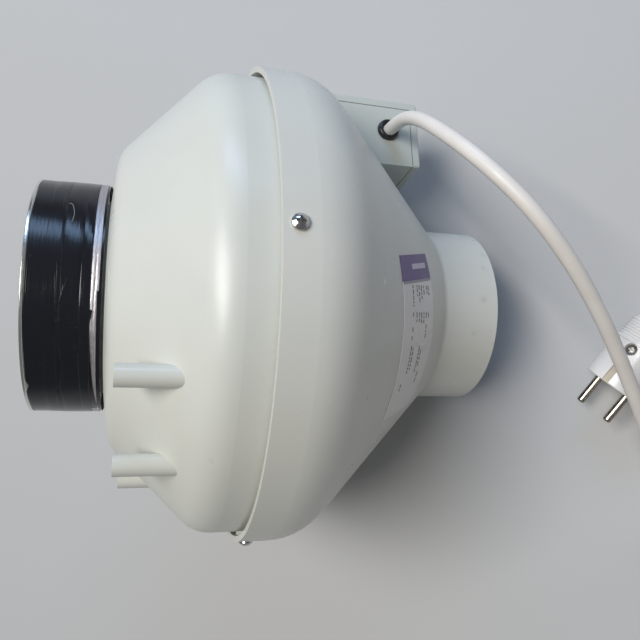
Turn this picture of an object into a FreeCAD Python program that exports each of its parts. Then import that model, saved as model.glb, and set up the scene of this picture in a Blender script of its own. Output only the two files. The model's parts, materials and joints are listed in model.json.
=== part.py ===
import FreeCAD, Part
import math
import os

# Inline duct fan with a centrifugal impeller on an external rotor motor.  All sizes are in millimetres.
# The fan is drawn in duct coordinates: x runs along the duct axis from inlet to outlet, with zero at the
# edge of the outlet casing's skirt, and angles are counted about that axis from +z towards +y.
# It lies on the skirt's rounded shoulder and on the end of the outlet spigot, so at the end every piece
# is turned by the resting tilt and set down on z = 0.  The cord and the plug are drawn where they lie.

V = FreeCAD.Vector
AXIS = V(1, 0, 0)
ORIGIN = V(0, 0, 0)

# Casing
WALL = 2.8
SKIRT_R = 125.3
SKIRT_CORNER_X = 28.7
SKIRT_FILLET = 32.0
CONE_APEX_X = SKIRT_CORNER_X + SKIRT_R
SPIGOT_R = 49.35
SPIGOT_END_X = 135.3
INLET_R = 120.3
INLET_TAIL_X = 18.0
INLET_CORNER_X = -20.8
INLET_FILLET = 20.0
INLET_FACE_X = -63.8
INLET_FACE_R = 76.0
INLET_FACE_FILLET = 15.0
INLET_FACE_ROOT_X = -67.2
INLET_SPIGOT_X = -98.0
EDGE_ROUND = 0.8
TOUCH_GAP = 0.05

# Screws that hold the two casing halves together
CASING_SCREW_X = 6.5
CASING_SCREW_ANGLES = [15.0, 105.0, 195.0, 285.0]
CASING_SCREW_HOLE_R = 1.55
CASING_PAD_R = 5.0
CASING_POST_R = 4.6
CASING_POST_INNER_R = 109.0
CASING_SCREW = (3.5, 2.6, 14.0)
SKIRT_HOLE_R = 2.1
SEAL_X = (12.4, 15.0)
SEAL_ROUND = 0.6

# Bosses that a wall bracket screws to
BOSS_PITCH_R = 103.5
BOSS_R = 4.8
BOSS_END_X = -59.2
BOSS_CENTRE_ANGLE = -71.5
BOSS_OFFSETS = [-55.1, -28.9, 28.9, 55.1]
BOSS_HOLE_R = 1.75
BOSS_HOLE_DEPTH = 14.0
BOSS_ROOT_X = -25.0

# Adapter ring and tape on the inlet spigot
ADAPTER_R = 58.4
ADAPTER_WALL = 1.0
ADAPTER_RIM_R = 59.2
ADAPTER_X = (-101.0, -69.5)
ADAPTER_RIM = 1.4
ADAPTER_LIP_ROUND = 0.9
TAPE_R = 59.2
TAPE_X = (-99.4, -72.2)
FOIL_X = (-72.1, -68.8)
FOIL_R = 59.2

# Impeller and motor
NOZZLE_R = 47.0
NOZZLE_WALL = 1.5
NOZZLE_X = (-62.0, -40.0)
NOZZLE_FLANGE_R = 67.0
NOZZLE_SCREW_R = 61.0
NOZZLE_SCREW_ANGLES = [45.0, 135.0, 225.0, 315.0]
NOZZLE_SCREW = (2.6, 1.8, 3.6)
NOZZLE_SCREW_SHANK_R = 1.45
NOZZLE_HOLE_R = 1.7
NOZZLE_SEAT_R = 4.0
NOZZLE_SEAT_DEPTH = 4.0
NOZZLE_SEAT_HOLE_R = 1.5
NOZZLE_SEAT_HOLE_DEPTH = 2.35
SHROUD_EYE_R = 50.0
SHROUD_EYE_X = -44.0
SHROUD_COLLAR = 5.0
SHROUD_RIM_X = -28.0
IMPELLER_R = 93.0
SHEET = 1.6
BLADE_COUNT = 7
BLADE_INNER_R = 54.0
BLADE_ARC_R = 62.0
BLADE_ARC_CENTRE = (44.0, 40.0)
BLADE_FRONT_X = (-36.1, -26.1)
RIM_MARGIN = 0.5
BACKPLATE_X = (-2.0, 0.0)
ROTOR_R = 36.0
ROTOR_WALL = 2.2
ROTOR_X = (-24.0, 12.0)
ROTOR_FLANGE_R = 44.0
ROTOR_FLANGE = 1.95
ROTOR_HUB_R = 8.0
ROTOR_HUB_END_X = -18.5
CAGE_X = (-13.0, 9.0)
CAGE_R = 27.9
RIVET_R = 40.2
RIVET_COUNT = 6
RIVET_SHANK_R = 1.55
RIVET_HOLE_R = 1.6
RIVET_HEAD = (2.8, 1.2, 1.1)
RIVET_TAIL = (2.6, 1.4, 0.9)
SHAFT_R = 4.0
SHAFT_X = (-23.0, 19.0)
GROOVE_X = (16.4, 17.5)
GROOVE_R = 3.5
RING_R = 5.9
RING_OPENING = 3.0
BEARING_R = 11.0
BEARING_BORE_R = 4.03
BEARING_LENGTH = 7.0
BEARING_SHIELD = (5.8, 9.4)
BEARING_SHIELD_DEPTH = 0.4
BEARING_TUBE_R = 13.5
BEARING_TUBE_X = -16.5
BEARING_STOP_R = 9.0
FRONT_BEARING_X = -15.5
REAR_BEARING_X = 8.4
STATOR_X = (-10.5, 6.5)
STATOR_R = 27.4
SLOT_COUNT = 12
SLOT_R = (16.0, 24.6)
SLOT_WIDTH = 4.6
SLOT_MOUTH = (24.5, 28.5)
SLOT_MOUTH_WIDTH = 1.8
COIL_SIDE_GAP = 0.2
COIL_HEAD_R = (15.5, 25.6)
COIL_HEAD_LENGTH = 6.0
FLANGE_R = 36.0
FLANGE_X = (15.5, 20.0)
SUPPORT_X = (20.05, 23.5)
SUPPORT_HUB_R = 40.0
SUPPORT_ARM_ANGLES = [61.0, 151.0, 241.0, 331.0]
SUPPORT_FOOT_R = 104.0
SUPPORT_ARM_WIDTH = 11.0
SUPPORT_HUB_BORE_R = 12.0
SUPPORT_FOOT_PAD_R = 7.0
SUPPORT_POST_R = 4.5
SUPPORT_POST_REACH = 60.0
SUPPORT_SCREW = (3.4, 2.2, 14.0)
SUPPORT_SCREW_R = 1.45
MOTOR_SCREW_R = 26.0
MOTOR_SCREW = (3.2, 2.0, 7.5)
MOTOR_SCREW_SHANK_R = 1.65
SUPPORT_ARM_OVERLAP = 10.0
PLATE_HOLE_R = 2.1
HOLE_GAP = 0.05
PRESS_GAP = 0.02

# Terminal box on the outlet cone, drawn at the +y side: x, height h from the axis, width w
BOX_ANGLE = 106.0
BOX_TOP = 123.3
BOX_END = 104.7
BOX_LOW = 81.0
BOX_TAIL = 27.6
BOX_HALF = 30.0
BOX_WALL = 2.2
LID_RIM = 4.6
LID_SEAM = 0.5
LID_POST = (95.2, 23.4)
LID_POST_R = 3.4
LID_SCREW = (2.6, 1.6, 14.0)
LID_SCREW_R = 1.25
LID_RECESS_R = 2.9
LID_RECESS_DEPTH = 1.9
LID_EDGE = 1.2
GROMMET = (85.2, 102.9)
GROMMET_R = 6.6
GROMMET_HOLE_R = 5.0
GROMMET_PROUD = 3.2
GROMMET_FLANGE = 2.0
LEAD_LINE = -5.0
LEAD_R = 2.0
INNER_LEAD_R = 2.6
LEAD_GAP = 1.1
CLAMP_GAP = 0.25
LEAD_ALONG_CONE = 12.0
LEAD_INNER_H = 15.0
LEAD_BEND_R = 9.0
LEAD_HEIGHT = 5.5
LEAD_HOLE_GAP = 0.5
INNER_LEAD_HEIGHT = 5.0
INNER_LEAD_BEND_R = 7.0
INNER_LEAD_TURN = (9.0, 7.5)
BLOCK_FOOT = (55.15, 102.15)
BLOCK_HALF = 6.0
BLOCK_TOP_HALF = 3.6
BLOCK_SHOULDER = 7.0
BLOCK_HEIGHT = 11.0
BLOCK_LENGTH = 30.0
BLOCK_PITCH = 10.0
BLOCK_SOCKET_R = 2.0
BLOCK_SOCKET_FLOOR = 5.5
BLOCK_SPLIT = 0.8
BLOCK_SPLIT_FLOOR = 8.0
TERMINAL_SCREW_R = 1.9
TERMINAL_SCREW_HEIGHT = 4.0
TERMINAL_SLOT = (0.6, 0.8)
WIRE_REACH = 6.1
CAPACITOR = (83.0, 92.2)
CAPACITOR_R = 7.9
CAPACITOR_ENDS = (-26.0, 8.0)
CLIP_WIDTH = (-12.0, -4.0)
CLIP_STEEL = 0.9
CLIP_GAP = 0.03
CLIP_FOOT = 6.0
CLIP_REACH = 4.0
CLAMP_DEPTH = 6.5
CLAMP_SIDES = (8.2, 6.2)
CLAMP_HALF = 6.0
CLAMP_ROUND = 1.5

# Mains cord, its plug and its coil, in floor coordinates
CORD_R = 3.75
CORD_EXIT_ROUTE = [
    (57.4, 105.7, 67.1), (69.4, 111.8, 84.5), (81.5, 104.3, 107.0), (99.0, 90.5, 130.5),
    (121.5, 72.5, 146.5), (143.5, 51.0, 147.5), (161.5, 28.0, 134.0), (176.5, 4.0, 114.0),
    (189.5, -21.0, 92.0), (202.0, -47.0, 70.0), (213.0, -72.0, 46.0), (220.5, -93.5, 26.5),
    (226.5, -111.5, 13.5), (237.6, -129.1, 8.6),
]
CORD_TAIL_ROUTE = [
    (314.6, -108.3, 5.05), (316.8, -67.0, 4.3), (319.2, -27.0, 3.9), (319.0, 13.5, 3.9),
    (307.8, 34.5, 3.9), (287.8, 46.8, 4.2), (264.4, 48.0, 6.2), (243.4, 37.4, 11.5),
    (228.0, 14.6, 18.4),
]
RUN_SHARE = 0.45
COIL_CENTRE = (272.0, -105.0)
COIL_MEAN_R = 42.0
COIL_HALF = 7.5
COIL_LOW = 1.3
TIE_WALL = 1.1
TIE_SWEEP = 10.0
TIE_ANGLES = [85.0, 265.0]

# Plug, drawn with its face at x = 0 and its pins along +x
PLUG_FACE = (192.7, -38.5, 18.6)
PLUG_HEADING = -123.6
PLUG_ROLL = 25.0
PLUG_R = 17.6
PLUG_BEAD_X = (-28.6, -26.8)
PLUG_BEAD = 0.5
PLUG_LENGTH = 64.0
GRIP_X = -40.5
GRIP_R = 16.2
GRIP_TAPER = 0.08
RIB_COUNT = 7
RIB_PITCH = 1.7
RIB_DEPTH = 0.5
RIB_ROUND = 0.15
NECK_X = -46.0
NECK_R = 7.2
NECK_END_R = 4.9
PIN_R = 2.4
PIN_LENGTH = 19.0
PIN_SPACING = 19.0
PIN_ROOT = 12.0
EARTH_WIDTH = 4.2
EARTH_LENGTH = 14.0
EARTH_FLOOR = 15.6
EARTH_THICKNESS = 1.2
PLUG_SCREW_X = -23.2
PLUG_SCREW_SEAT = 14.4
PLUG_SCREW = (3.3, 1.9, 20.0)
PLUG_SCREW_SHANK_R = 1.5
PLUG_RECESS_R = 3.6

# Labels on the outlet cone, laid square to one line on it: the line's angle, then distances along it
# from the cone's apex, and sideways
LABEL_ANGLE = -9.0
LABEL_ALONG = (89.6, 127.3)
RATING_ACROSS = (-38.0, 27.8)
ACCENT_ACROSS = (28.1, 39.6)
LABEL_LAYER = (0.06, 0.3)
LABEL_DEPTH = 30.0

# Pieces that the fan's box is measured on
OUTER_PIECES = [
    "inlet_housing", "outlet_housing", "inlet_adapter_ring", "black_tape_wrap", "foil_tape_band",
    "terminal_box_lid", "terminal_box_base", "housing_screws",
]


def unit(vector):
    """The vector's direction, at length 1."""
    length = vector.Length
    return V(vector.x / length, vector.y / length, vector.z / length)


def rounded_edges(corners, closed):
    """Straight edges between corners (point, radius), joined by tangent arcs of those radii."""
    count = len(corners)
    edges = []
    cuts = []
    for index, (point, radius) in enumerate(corners):
        at_end = not closed and index in (0, count - 1)
        if at_end or radius <= 0:
            cuts.append((point, None, point))
            continue
        arriving = unit(point - corners[index - 1][0])
        leaving = unit(corners[(index + 1) % count][0] - point)
        half_turn = arriving.getAngle(leaving) / 2
        setback = radius * math.tan(half_turn)
        inward = unit(leaving - arriving)
        middle = point + inward * (radius / math.cos(half_turn) - radius)
        cuts.append((point - arriving * setback, middle, point + leaving * setback))
    for index, (start, middle, end) in enumerate(cuts):
        if middle is not None:
            edges.append(Part.Arc(start, middle, end).toShape())
        if index < count - 1 or closed:
            following = cuts[(index + 1) % count][0]
            if (following - end).Length > 1e-6:
                edges.append(Part.LineSegment(end, following).toShape())
    return edges


def flat_face(points):
    """A closed outline (x, y) or (x, y, radius) in the XY plane, as a face."""
    corners = [(V(p[0], p[1], 0), p[2] if len(p) > 2 else 0) for p in points]
    return Part.Face(Part.Wire(rounded_edges(corners, True)))


def turned_solid(points, sweep=360):
    """The outline (x, radius) turned about the duct axis."""
    return flat_face(points).revolve(ORIGIN, AXIS, sweep)


def slab(points, low, high):
    """The outline (x, y) made a slab from z = low to z = high."""
    solid = flat_face(points).extrude(V(0, 0, high - low))
    solid.translate(V(0, 0, low))
    return solid


def rod(radius, start, end):
    """A round rod from one point to another."""
    start = V(*start)
    run = V(*end) - start
    return Part.makeCylinder(radius, run.Length, start, run)


def tube(outer, inner, start, end):
    """A round tube from one point to another."""
    return rod(outer, start, end).cut(rod(inner, start, end))


def at_angle(shape, angle):
    """A piece drawn on the +y side, swung about the duct axis to an angle from +z towards +y."""
    turned = shape.copy()
    turned.rotate(ORIGIN, AXIS, 90 - angle)
    return turned


def together(shapes):
    """Separate solids kept in one node."""
    return Part.makeCompound(shapes)


def aimed(shape, start, direction):
    """A piece drawn along +x, pointed in a direction and moved to a point."""
    moved = shape.copy()
    moved.Placement = FreeCAD.Placement(V(*start), FreeCAD.Rotation(AXIS, V(*direction)))
    return moved


def pan_screw(head_r, head_height, shank_r, length):
    """A screw along x with its shank towards -x, its head's underside at x = 0 and a cross recess."""
    body = turned_solid([
        (-length, 0), (-length, shank_r * 0.5), (-length + shank_r, shank_r), (0, shank_r), (0, head_r),
        (head_height * 0.45, head_r, 0.3), (head_height, head_r * 0.45, head_r * 0.7), (head_height, 0),
    ])
    slot_width = head_r * 0.26
    slot_length = head_r * 1.15
    depth = head_height * 0.6
    for width, breadth in ((slot_width, slot_length), (slot_length, slot_width)):
        body = body.cut(Part.makeBox(
            depth + 1, width, breadth, V(head_height - depth, -width / 2, -breadth / 2)))
    return body


def offset_profile(corners, distance):
    """The inner line of a wall: each corner (x, radius, round) moved square to its two straight runs."""
    normals = []
    for (x0, r0, _), (x1, r1, _) in zip(corners, corners[1:]):
        run = math.hypot(x1 - x0, r1 - r0)
        normals.append(((r1 - r0) / run, -(x1 - x0) / run))
    first = normals[0]
    moved = [(corners[0][0] + first[0] * distance, corners[0][1] + first[1] * distance, 0)]
    for index in range(1, len(corners) - 1):
        before, after = normals[index - 1], normals[index]
        scale = distance / (1 + before[0] * after[0] + before[1] * after[1])
        turn_right = before[0] * after[1] - before[1] * after[0] < 0
        x, r, radius = corners[index]
        inner_round = radius - distance if turn_right else radius + distance
        moved.append((x + (before[0] + after[0]) * scale, r + (before[1] + after[1]) * scale,
                      max(inner_round, 0) if radius else 0))
    last = normals[-1]
    moved.append((corners[-1][0] + last[0] * distance, corners[-1][1] + last[1] * distance, 0))
    return moved


def wall_solid(corners, thickness):
    """A turned wall whose outer line is given and whose inner line is a thickness inside it."""
    inner = offset_profile(corners, thickness)
    return turned_solid(list(corners) + inner[::-1])


OUTLET_LINE = [
    (0, SKIRT_R, 0), (SKIRT_CORNER_X, SKIRT_R, SKIRT_FILLET),
    (CONE_APEX_X - SPIGOT_R, SPIGOT_R, 3.0), (SPIGOT_END_X, SPIGOT_R, 0),
]
INLET_LINE = [
    (INLET_SPIGOT_X, SPIGOT_R, 0), (INLET_FACE_ROOT_X, SPIGOT_R, 1.5),
    (INLET_FACE_X, INLET_FACE_R, INLET_FACE_FILLET), (INLET_CORNER_X, INLET_R, INLET_FILLET),
    (INLET_TAIL_X, INLET_R, 0),
]


def casing_block(line, distance):
    """Everything inside a casing line, moved outward by a distance, as one turned block."""
    moved = offset_profile(line, -distance) if distance else line
    return turned_solid([(line[0][0], 0)] + list(moved) + [(line[-1][0], 0)])


def resting_tilt():
    """The duct's slope when the skirt's round shoulder and the spigot's end touch the floor."""
    centre_x = SKIRT_CORNER_X - SKIRT_FILLET * math.tan(math.radians(22.5))
    rise = SKIRT_R - SKIRT_FILLET - SPIGOT_R
    run = SPIGOT_END_X - centre_x
    return math.degrees(math.atan2(rise, run) + math.asin(SKIRT_FILLET / math.hypot(rise, run)))


def outlet_housing():
    """The outlet half: skirt, shoulder, 45 degree cone and spigot, with posts for the motor support."""
    shell = wall_solid(OUTLET_LINE, WALL)
    cavity_cut = casing_block(OUTLET_LINE, 0)
    post_x = SUPPORT_X[1] + TOUCH_GAP
    post = rod(SUPPORT_POST_R, (post_x, SUPPORT_FOOT_R, 0), (SUPPORT_POST_REACH, SUPPORT_FOOT_R, 0))
    post_hole = rod(SUPPORT_SCREW_R + HOLE_GAP, (0, SUPPORT_FOOT_R, 0),
                    (post_x + SUPPORT_SCREW[2] - 2, SUPPORT_FOOT_R, 0))
    for angle in SUPPORT_ARM_ANGLES:
        shell = shell.fuse(at_angle(post, angle).common(cavity_cut)).cut(at_angle(post_hole, angle))
    for angle in CASING_SCREW_ANGLES:
        hole = rod(SKIRT_HOLE_R, (CASING_SCREW_X, INLET_R, 0), (CASING_SCREW_X, SKIRT_R + 1, 0))
        shell = shell.cut(at_angle(hole, angle))
    return shell.cut(lead_hole())


def inlet_housing():
    """The inlet half: spigot, face, cone and barrel, with bracket bosses and screw posts."""
    shell = wall_solid(INLET_LINE, WALL)
    inside = casing_block(offset_profile(INLET_LINE, WALL), 0)
    for offset in BOSS_OFFSETS:
        boss = rod(BOSS_R, (BOSS_END_X, BOSS_PITCH_R, 0), (BOSS_ROOT_X, BOSS_PITCH_R, 0))
        hole = rod(BOSS_HOLE_R, (BOSS_END_X - 1, BOSS_PITCH_R, 0),
                   (BOSS_END_X + BOSS_HOLE_DEPTH, BOSS_PITCH_R, 0))
        angle = BOSS_CENTRE_ANGLE + offset
        shell = shell.fuse(at_angle(boss, angle).cut(inside)).cut(at_angle(hole, angle))
    screw_x = CASING_SCREW_X
    pad_top = SKIRT_R - WALL - TOUCH_GAP * 5
    pad = rod(CASING_PAD_R, (screw_x, INLET_R - WALL / 2, 0), (screw_x, pad_top, 0))
    post = rod(CASING_POST_R, (screw_x, CASING_POST_INNER_R, 0), (screw_x, INLET_R - 1, 0))
    hole = rod(CASING_SCREW_HOLE_R, (screw_x, CASING_POST_INNER_R - 1, 0), (screw_x, pad_top + 1, 0))
    for angle in CASING_SCREW_ANGLES:
        shell = shell.fuse(at_angle(pad.fuse(post), angle)).cut(at_angle(hole, angle))
    return shell


def housing_screws():
    """Pan head screws through the skirt into the inlet half's posts."""
    head_r, head_height, length = CASING_SCREW
    screw = pan_screw(head_r, head_height, CASING_SCREW_HOLE_R - TOUCH_GAP, length)
    one = aimed(screw, (CASING_SCREW_X, SKIRT_R + TOUCH_GAP, 0), (0, 1, 0))
    return together([at_angle(one, angle) for angle in CASING_SCREW_ANGLES])


def housing_seal():
    """A rubber ring between the inlet barrel and the skirt."""
    low_r = INLET_R + TOUCH_GAP
    high_r = SKIRT_R - WALL - TOUCH_GAP * 5
    start, end = SEAL_X
    return turned_solid([
        (start, low_r), (start, high_r, SEAL_ROUND), (end, high_r, SEAL_ROUND), (end, low_r),
    ])


def inlet_nozzle():
    """The flanged inlet ring that leads air into the impeller's eye."""
    low, high = NOZZLE_X
    outer = NOZZLE_R + NOZZLE_WALL
    nozzle = turned_solid([
        (low, NOZZLE_R, 0.7), (low, NOZZLE_FLANGE_R, 0.5), (low + NOZZLE_WALL, NOZZLE_FLANGE_R, 0.5),
        (low + NOZZLE_WALL, outer, 3.0), (high, outer, 0.4), (high, NOZZLE_R, 0.4),
    ])
    hole = rod(NOZZLE_HOLE_R, (low - 1, NOZZLE_SCREW_R, 0), (low + NOZZLE_WALL + 1, NOZZLE_SCREW_R, 0))
    for angle in NOZZLE_SCREW_ANGLES:
        nozzle = nozzle.cut(at_angle(hole, angle))
    return nozzle


def nozzle_screws():
    """Short screws that hold the nozzle's flange to the inlet face."""
    head_r, head_height, length = NOZZLE_SCREW
    screw = pan_screw(head_r, head_height, NOZZLE_SCREW_SHANK_R, length)
    one = aimed(screw, (NOZZLE_X[0] + NOZZLE_WALL + TOUCH_GAP, NOZZLE_SCREW_R, 0), (1, 0, 0))
    return together([at_angle(one, angle) for angle in NOZZLE_SCREW_ANGLES])


def nozzle_seats(housing):
    """The inlet half with four low seats behind the nozzle's flange and their screw holes."""
    outside = casing_block(INLET_LINE, 0)
    seat_x = NOZZLE_X[0] - TOUCH_GAP
    seat = rod(NOZZLE_SEAT_R, (seat_x - NOZZLE_SEAT_DEPTH, NOZZLE_SCREW_R, 0), (seat_x, NOZZLE_SCREW_R, 0))
    hole = rod(NOZZLE_SEAT_HOLE_R, (seat_x - NOZZLE_SEAT_HOLE_DEPTH, NOZZLE_SCREW_R, 0),
               (seat_x + 1, NOZZLE_SCREW_R, 0))
    for angle in NOZZLE_SCREW_ANGLES:
        housing = housing.fuse(at_angle(seat, angle).common(outside)).cut(at_angle(hole, angle))
    return housing


def impeller_shroud():
    """The impeller's front ring, from a short collar at its eye to its rim."""
    return wall_solid([
        (SHROUD_EYE_X, SHROUD_EYE_R + SHEET, 0),
        (SHROUD_EYE_X + SHROUD_COLLAR, SHROUD_EYE_R + SHEET, 6.0),
        (SHROUD_RIM_X, IMPELLER_R, 0),
    ], SHEET)


def blade_zone():
    """The space between the shroud and the backplate that the blades fill."""
    inner_x, outer_x = BLADE_FRONT_X
    rear_x = BACKPLATE_X[0] - TOUCH_GAP
    rim_r = IMPELLER_R - RIM_MARGIN
    front_x = SHROUD_EYE_X + 4
    block = turned_solid([
        (rear_x, BLADE_INNER_R), (rear_x, rim_r), (front_x, rim_r), (front_x, BLADE_INNER_R),
    ])
    beyond_r = IMPELLER_R + RIM_MARGIN
    shroud_side = turned_solid([(-60, 0), (inner_x, BLADE_INNER_R), (outer_x, beyond_r), (-60, beyond_r)])
    return block.cut(shroud_side)


def impeller_blades():
    """Backward curved blades between the shroud and the backplate."""
    centre_y, centre_z = BLADE_ARC_CENTRE
    arc = tube(BLADE_ARC_R, BLADE_ARC_R - SHEET, (-45, centre_y, centre_z), (0, centre_y, centre_z))
    cuts = arc.common(blade_zone()).Solids
    blade = max(cuts, key=lambda piece: -piece.CenterOfMass.z)
    return together([at_angle(blade, 360.0 * index / BLADE_COUNT) for index in range(BLADE_COUNT)])


def impeller_backplate():
    """The impeller's rear disc, with a hole for the rotor and holes for the rivets."""
    low, high = BACKPLATE_X
    bore = ROTOR_R + 0.1
    plate = turned_solid([(low, bore), (low, IMPELLER_R), (high, IMPELLER_R), (high, bore)])
    for index in range(RIVET_COUNT):
        hole = rod(RIVET_HOLE_R, (low - 1, RIVET_R, 0), (high + 1, RIVET_R, 0))
        plate = plate.cut(at_angle(hole, 360.0 * index / RIVET_COUNT))
    return plate


def impeller_rivets():
    """Rivets that fix the backplate to the rotor's flange."""
    low = BACKPLATE_X[0] - TOUCH_GAP
    high = BACKPLATE_X[1] + ROTOR_FLANGE + 2 * TOUCH_GAP
    head_r, head_top_r, head_height = RIVET_HEAD
    tail_r, tail_top_r, tail_height = RIVET_TAIL
    rivet = turned_solid([
        (low - head_height, 0), (low - head_height, head_top_r, 0.8), (low, head_r), (low, RIVET_SHANK_R),
        (high, RIVET_SHANK_R), (high, tail_r), (high + tail_height, tail_top_r, 0.6), (high + tail_height, 0),
    ])
    rivet.translate(V(0, RIVET_R, 0))
    return together([at_angle(rivet, 360.0 * index / RIVET_COUNT) for index in range(RIVET_COUNT)])


def rotor_shell():
    """The steel cup of the external rotor, with its shaft hub and its rivet flange."""
    low, high = ROTOR_X
    inner = ROTOR_R - ROTOR_WALL
    flange_low = BACKPLATE_X[1] + TOUCH_GAP
    flange_high = flange_low + ROTOR_FLANGE
    cup = turned_solid([
        (low, SHAFT_R), (low, ROTOR_R, 4.0), (flange_low, ROTOR_R), (flange_low, ROTOR_FLANGE_R),
        (flange_high, ROTOR_FLANGE_R), (flange_high, ROTOR_R), (high, ROTOR_R), (high, inner),
        (low + ROTOR_WALL, inner, 2.5), (low + ROTOR_WALL, ROTOR_HUB_R), (ROTOR_HUB_END_X, ROTOR_HUB_R),
        (ROTOR_HUB_END_X, SHAFT_R),
    ])
    for index in range(RIVET_COUNT):
        hole = rod(RIVET_HOLE_R, (flange_low - 1, RIVET_R, 0), (flange_high + 1, RIVET_R, 0))
        cup = cup.cut(at_angle(hole, 360.0 * index / RIVET_COUNT))
    return cup


def rotor_cage():
    """The rotor's laminated ring with its squirrel cage, inside the cup."""
    outer = ROTOR_R - ROTOR_WALL - PRESS_GAP
    low, high = CAGE_X
    return turned_solid([(low, CAGE_R), (low, outer), (high, outer), (high, CAGE_R)])


def motor_shaft():
    """The shaft, pressed into the rotor's hub, with a groove for its retaining ring."""
    low, high = SHAFT_X
    groove_low, groove_high = GROOVE_X
    return turned_solid([
        (low, 0), (low, SHAFT_R, 0.4), (groove_low, SHAFT_R), (groove_low, GROOVE_R), (groove_high, GROOVE_R),
        (groove_high, SHAFT_R), (high, SHAFT_R, 0.5), (high, 0),
    ])


def retaining_ring():
    """The open ring in the shaft's groove."""
    low, high = GROOVE_X[0] + TOUCH_GAP, GROOVE_X[1] - 2 * TOUCH_GAP
    inner = GROOVE_R + PRESS_GAP
    ring = turned_solid([(low, inner), (low, RING_R), (high, RING_R), (high, inner)])
    return ring.cut(Part.makeBox(high - low + 2, RING_R + 1, RING_OPENING, V(low - 1, 0, -RING_OPENING / 2)))


def bearing(start):
    """A ball bearing, drawn as one ring with shielded sides."""
    end = start + BEARING_LENGTH
    low_r, high_r = BEARING_SHIELD
    front, rear = start + BEARING_SHIELD_DEPTH, end - BEARING_SHIELD_DEPTH
    return turned_solid([
        (start, BEARING_BORE_R), (start, low_r), (front, low_r), (front, high_r), (start, high_r),
        (start, BEARING_R, 0.4), (end, BEARING_R, 0.4), (end, high_r), (rear, high_r), (rear, low_r),
        (end, low_r), (end, BEARING_BORE_R),
    ])


def motor_flange():
    """The stator's carrier: a bearing tube on a round flange."""
    low, high = FLANGE_X
    bore = BEARING_R + PRESS_GAP
    stop_low = FRONT_BEARING_X + BEARING_LENGTH + 2 * TOUCH_GAP
    stop_high = REAR_BEARING_X - 2 * TOUCH_GAP
    flange = turned_solid([
        (BEARING_TUBE_X, bore), (BEARING_TUBE_X, BEARING_TUBE_R), (low, BEARING_TUBE_R, 1.5),
        (low, FLANGE_R, 1.0), (high, FLANGE_R, 0.5), (high, bore), (stop_high, bore),
        (stop_high, BEARING_STOP_R), (stop_low, BEARING_STOP_R), (stop_low, bore),
    ])
    hole = rod(MOTOR_SCREW_SHANK_R + HOLE_GAP, (low - 1, MOTOR_SCREW_R, 0), (high + 1, MOTOR_SCREW_R, 0))
    for angle in SUPPORT_ARM_ANGLES:
        flange = flange.cut(at_angle(hole, angle))
    return flange


def slot_block(radii, width):
    """A block as long as the stator that fills a slot from one radius to another."""
    low, high = STATOR_X
    return Part.makeBox(high - low, radii[1] - radii[0], width, V(low, radii[0], -width / 2))


def stator_core():
    """The laminated stator with open slots, on the bearing tube."""
    low, high = STATOR_X
    core = tube(STATOR_R, BEARING_TUBE_R + PRESS_GAP, (low, 0, 0), (high, 0, 0))
    for index in range(SLOT_COUNT):
        slot = slot_block(SLOT_R, SLOT_WIDTH)
        mouth = slot_block(SLOT_MOUTH, SLOT_MOUTH_WIDTH)
        core = core.cut(at_angle(slot.fuse(mouth), 360.0 * index / SLOT_COUNT))
    return core


def stator_windings():
    """The two rings of coil heads and the coil sides in the slots."""
    low, high = STATOR_X
    inner, outer = COIL_HEAD_R
    front = (low - COIL_HEAD_LENGTH, low - TOUCH_GAP)
    rear = (high + TOUCH_GAP, high + COIL_HEAD_LENGTH)
    coils = []
    for start, end in (front, rear):
        coils.append(turned_solid([(start, inner, 2), (start, outer, 2), (end, outer, 1), (end, inner, 1)]))
    side = slot_block((SLOT_R[0] + COIL_SIDE_GAP, SLOT_R[1] - COIL_SIDE_GAP), SLOT_WIDTH - 2 * COIL_SIDE_GAP)
    for index in range(SLOT_COUNT):
        coils.append(at_angle(side, 360.0 * index / SLOT_COUNT))
    return coils[0].fuse(coils[1:])


def motor_support():
    """The round plate with four arms that carries the motor in the outlet half."""
    low, high = SUPPORT_X
    plate = tube(SUPPORT_HUB_R, SUPPORT_HUB_BORE_R, (low, 0, 0), (high, 0, 0))
    start = SUPPORT_HUB_R - SUPPORT_ARM_OVERLAP
    arm = Part.makeBox(high - low, SUPPORT_FOOT_R - start, SUPPORT_ARM_WIDTH,
                       V(low, start, -SUPPORT_ARM_WIDTH / 2))
    arm = arm.fuse(rod(SUPPORT_FOOT_PAD_R, (low, SUPPORT_FOOT_R, 0), (high, SUPPORT_FOOT_R, 0)))
    for angle in SUPPORT_ARM_ANGLES:
        plate = plate.fuse(at_angle(arm, angle))
    for pitch in (SUPPORT_FOOT_R, MOTOR_SCREW_R):
        hole = rod(PLATE_HOLE_R, (low - 1, pitch, 0), (high + 1, pitch, 0))
        for angle in SUPPORT_ARM_ANGLES:
            plate = plate.cut(at_angle(hole, angle))
    return plate


def support_screws():
    """Screws from the inlet side through the arms' feet into the casing's posts."""
    head_r, head_height, length = SUPPORT_SCREW
    screw = pan_screw(head_r, head_height, SUPPORT_SCREW_R, length)
    one = aimed(screw, (SUPPORT_X[0] - TOUCH_GAP, SUPPORT_FOOT_R, 0), (-1, 0, 0))
    return together([at_angle(one, angle) for angle in SUPPORT_ARM_ANGLES])


def motor_screws():
    """Screws from the outlet side through the support into the motor's flange."""
    head_r, head_height, length = MOTOR_SCREW
    screw = pan_screw(head_r, head_height, MOTOR_SCREW_SHANK_R, length)
    one = aimed(screw, (SUPPORT_X[1] + TOUCH_GAP, MOTOR_SCREW_R, 0), (1, 0, 0))
    return together([at_angle(one, angle) for angle in SUPPORT_ARM_ANGLES])


def cone_point(along, normal):
    """A point (x, h) given along the cone's slope from the terminal block's foot, and square to it."""
    slope = math.sqrt(0.5)
    return BLOCK_FOOT[0] + (along + normal) * slope, BLOCK_FOOT[1] + (normal - along) * slope


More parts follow.
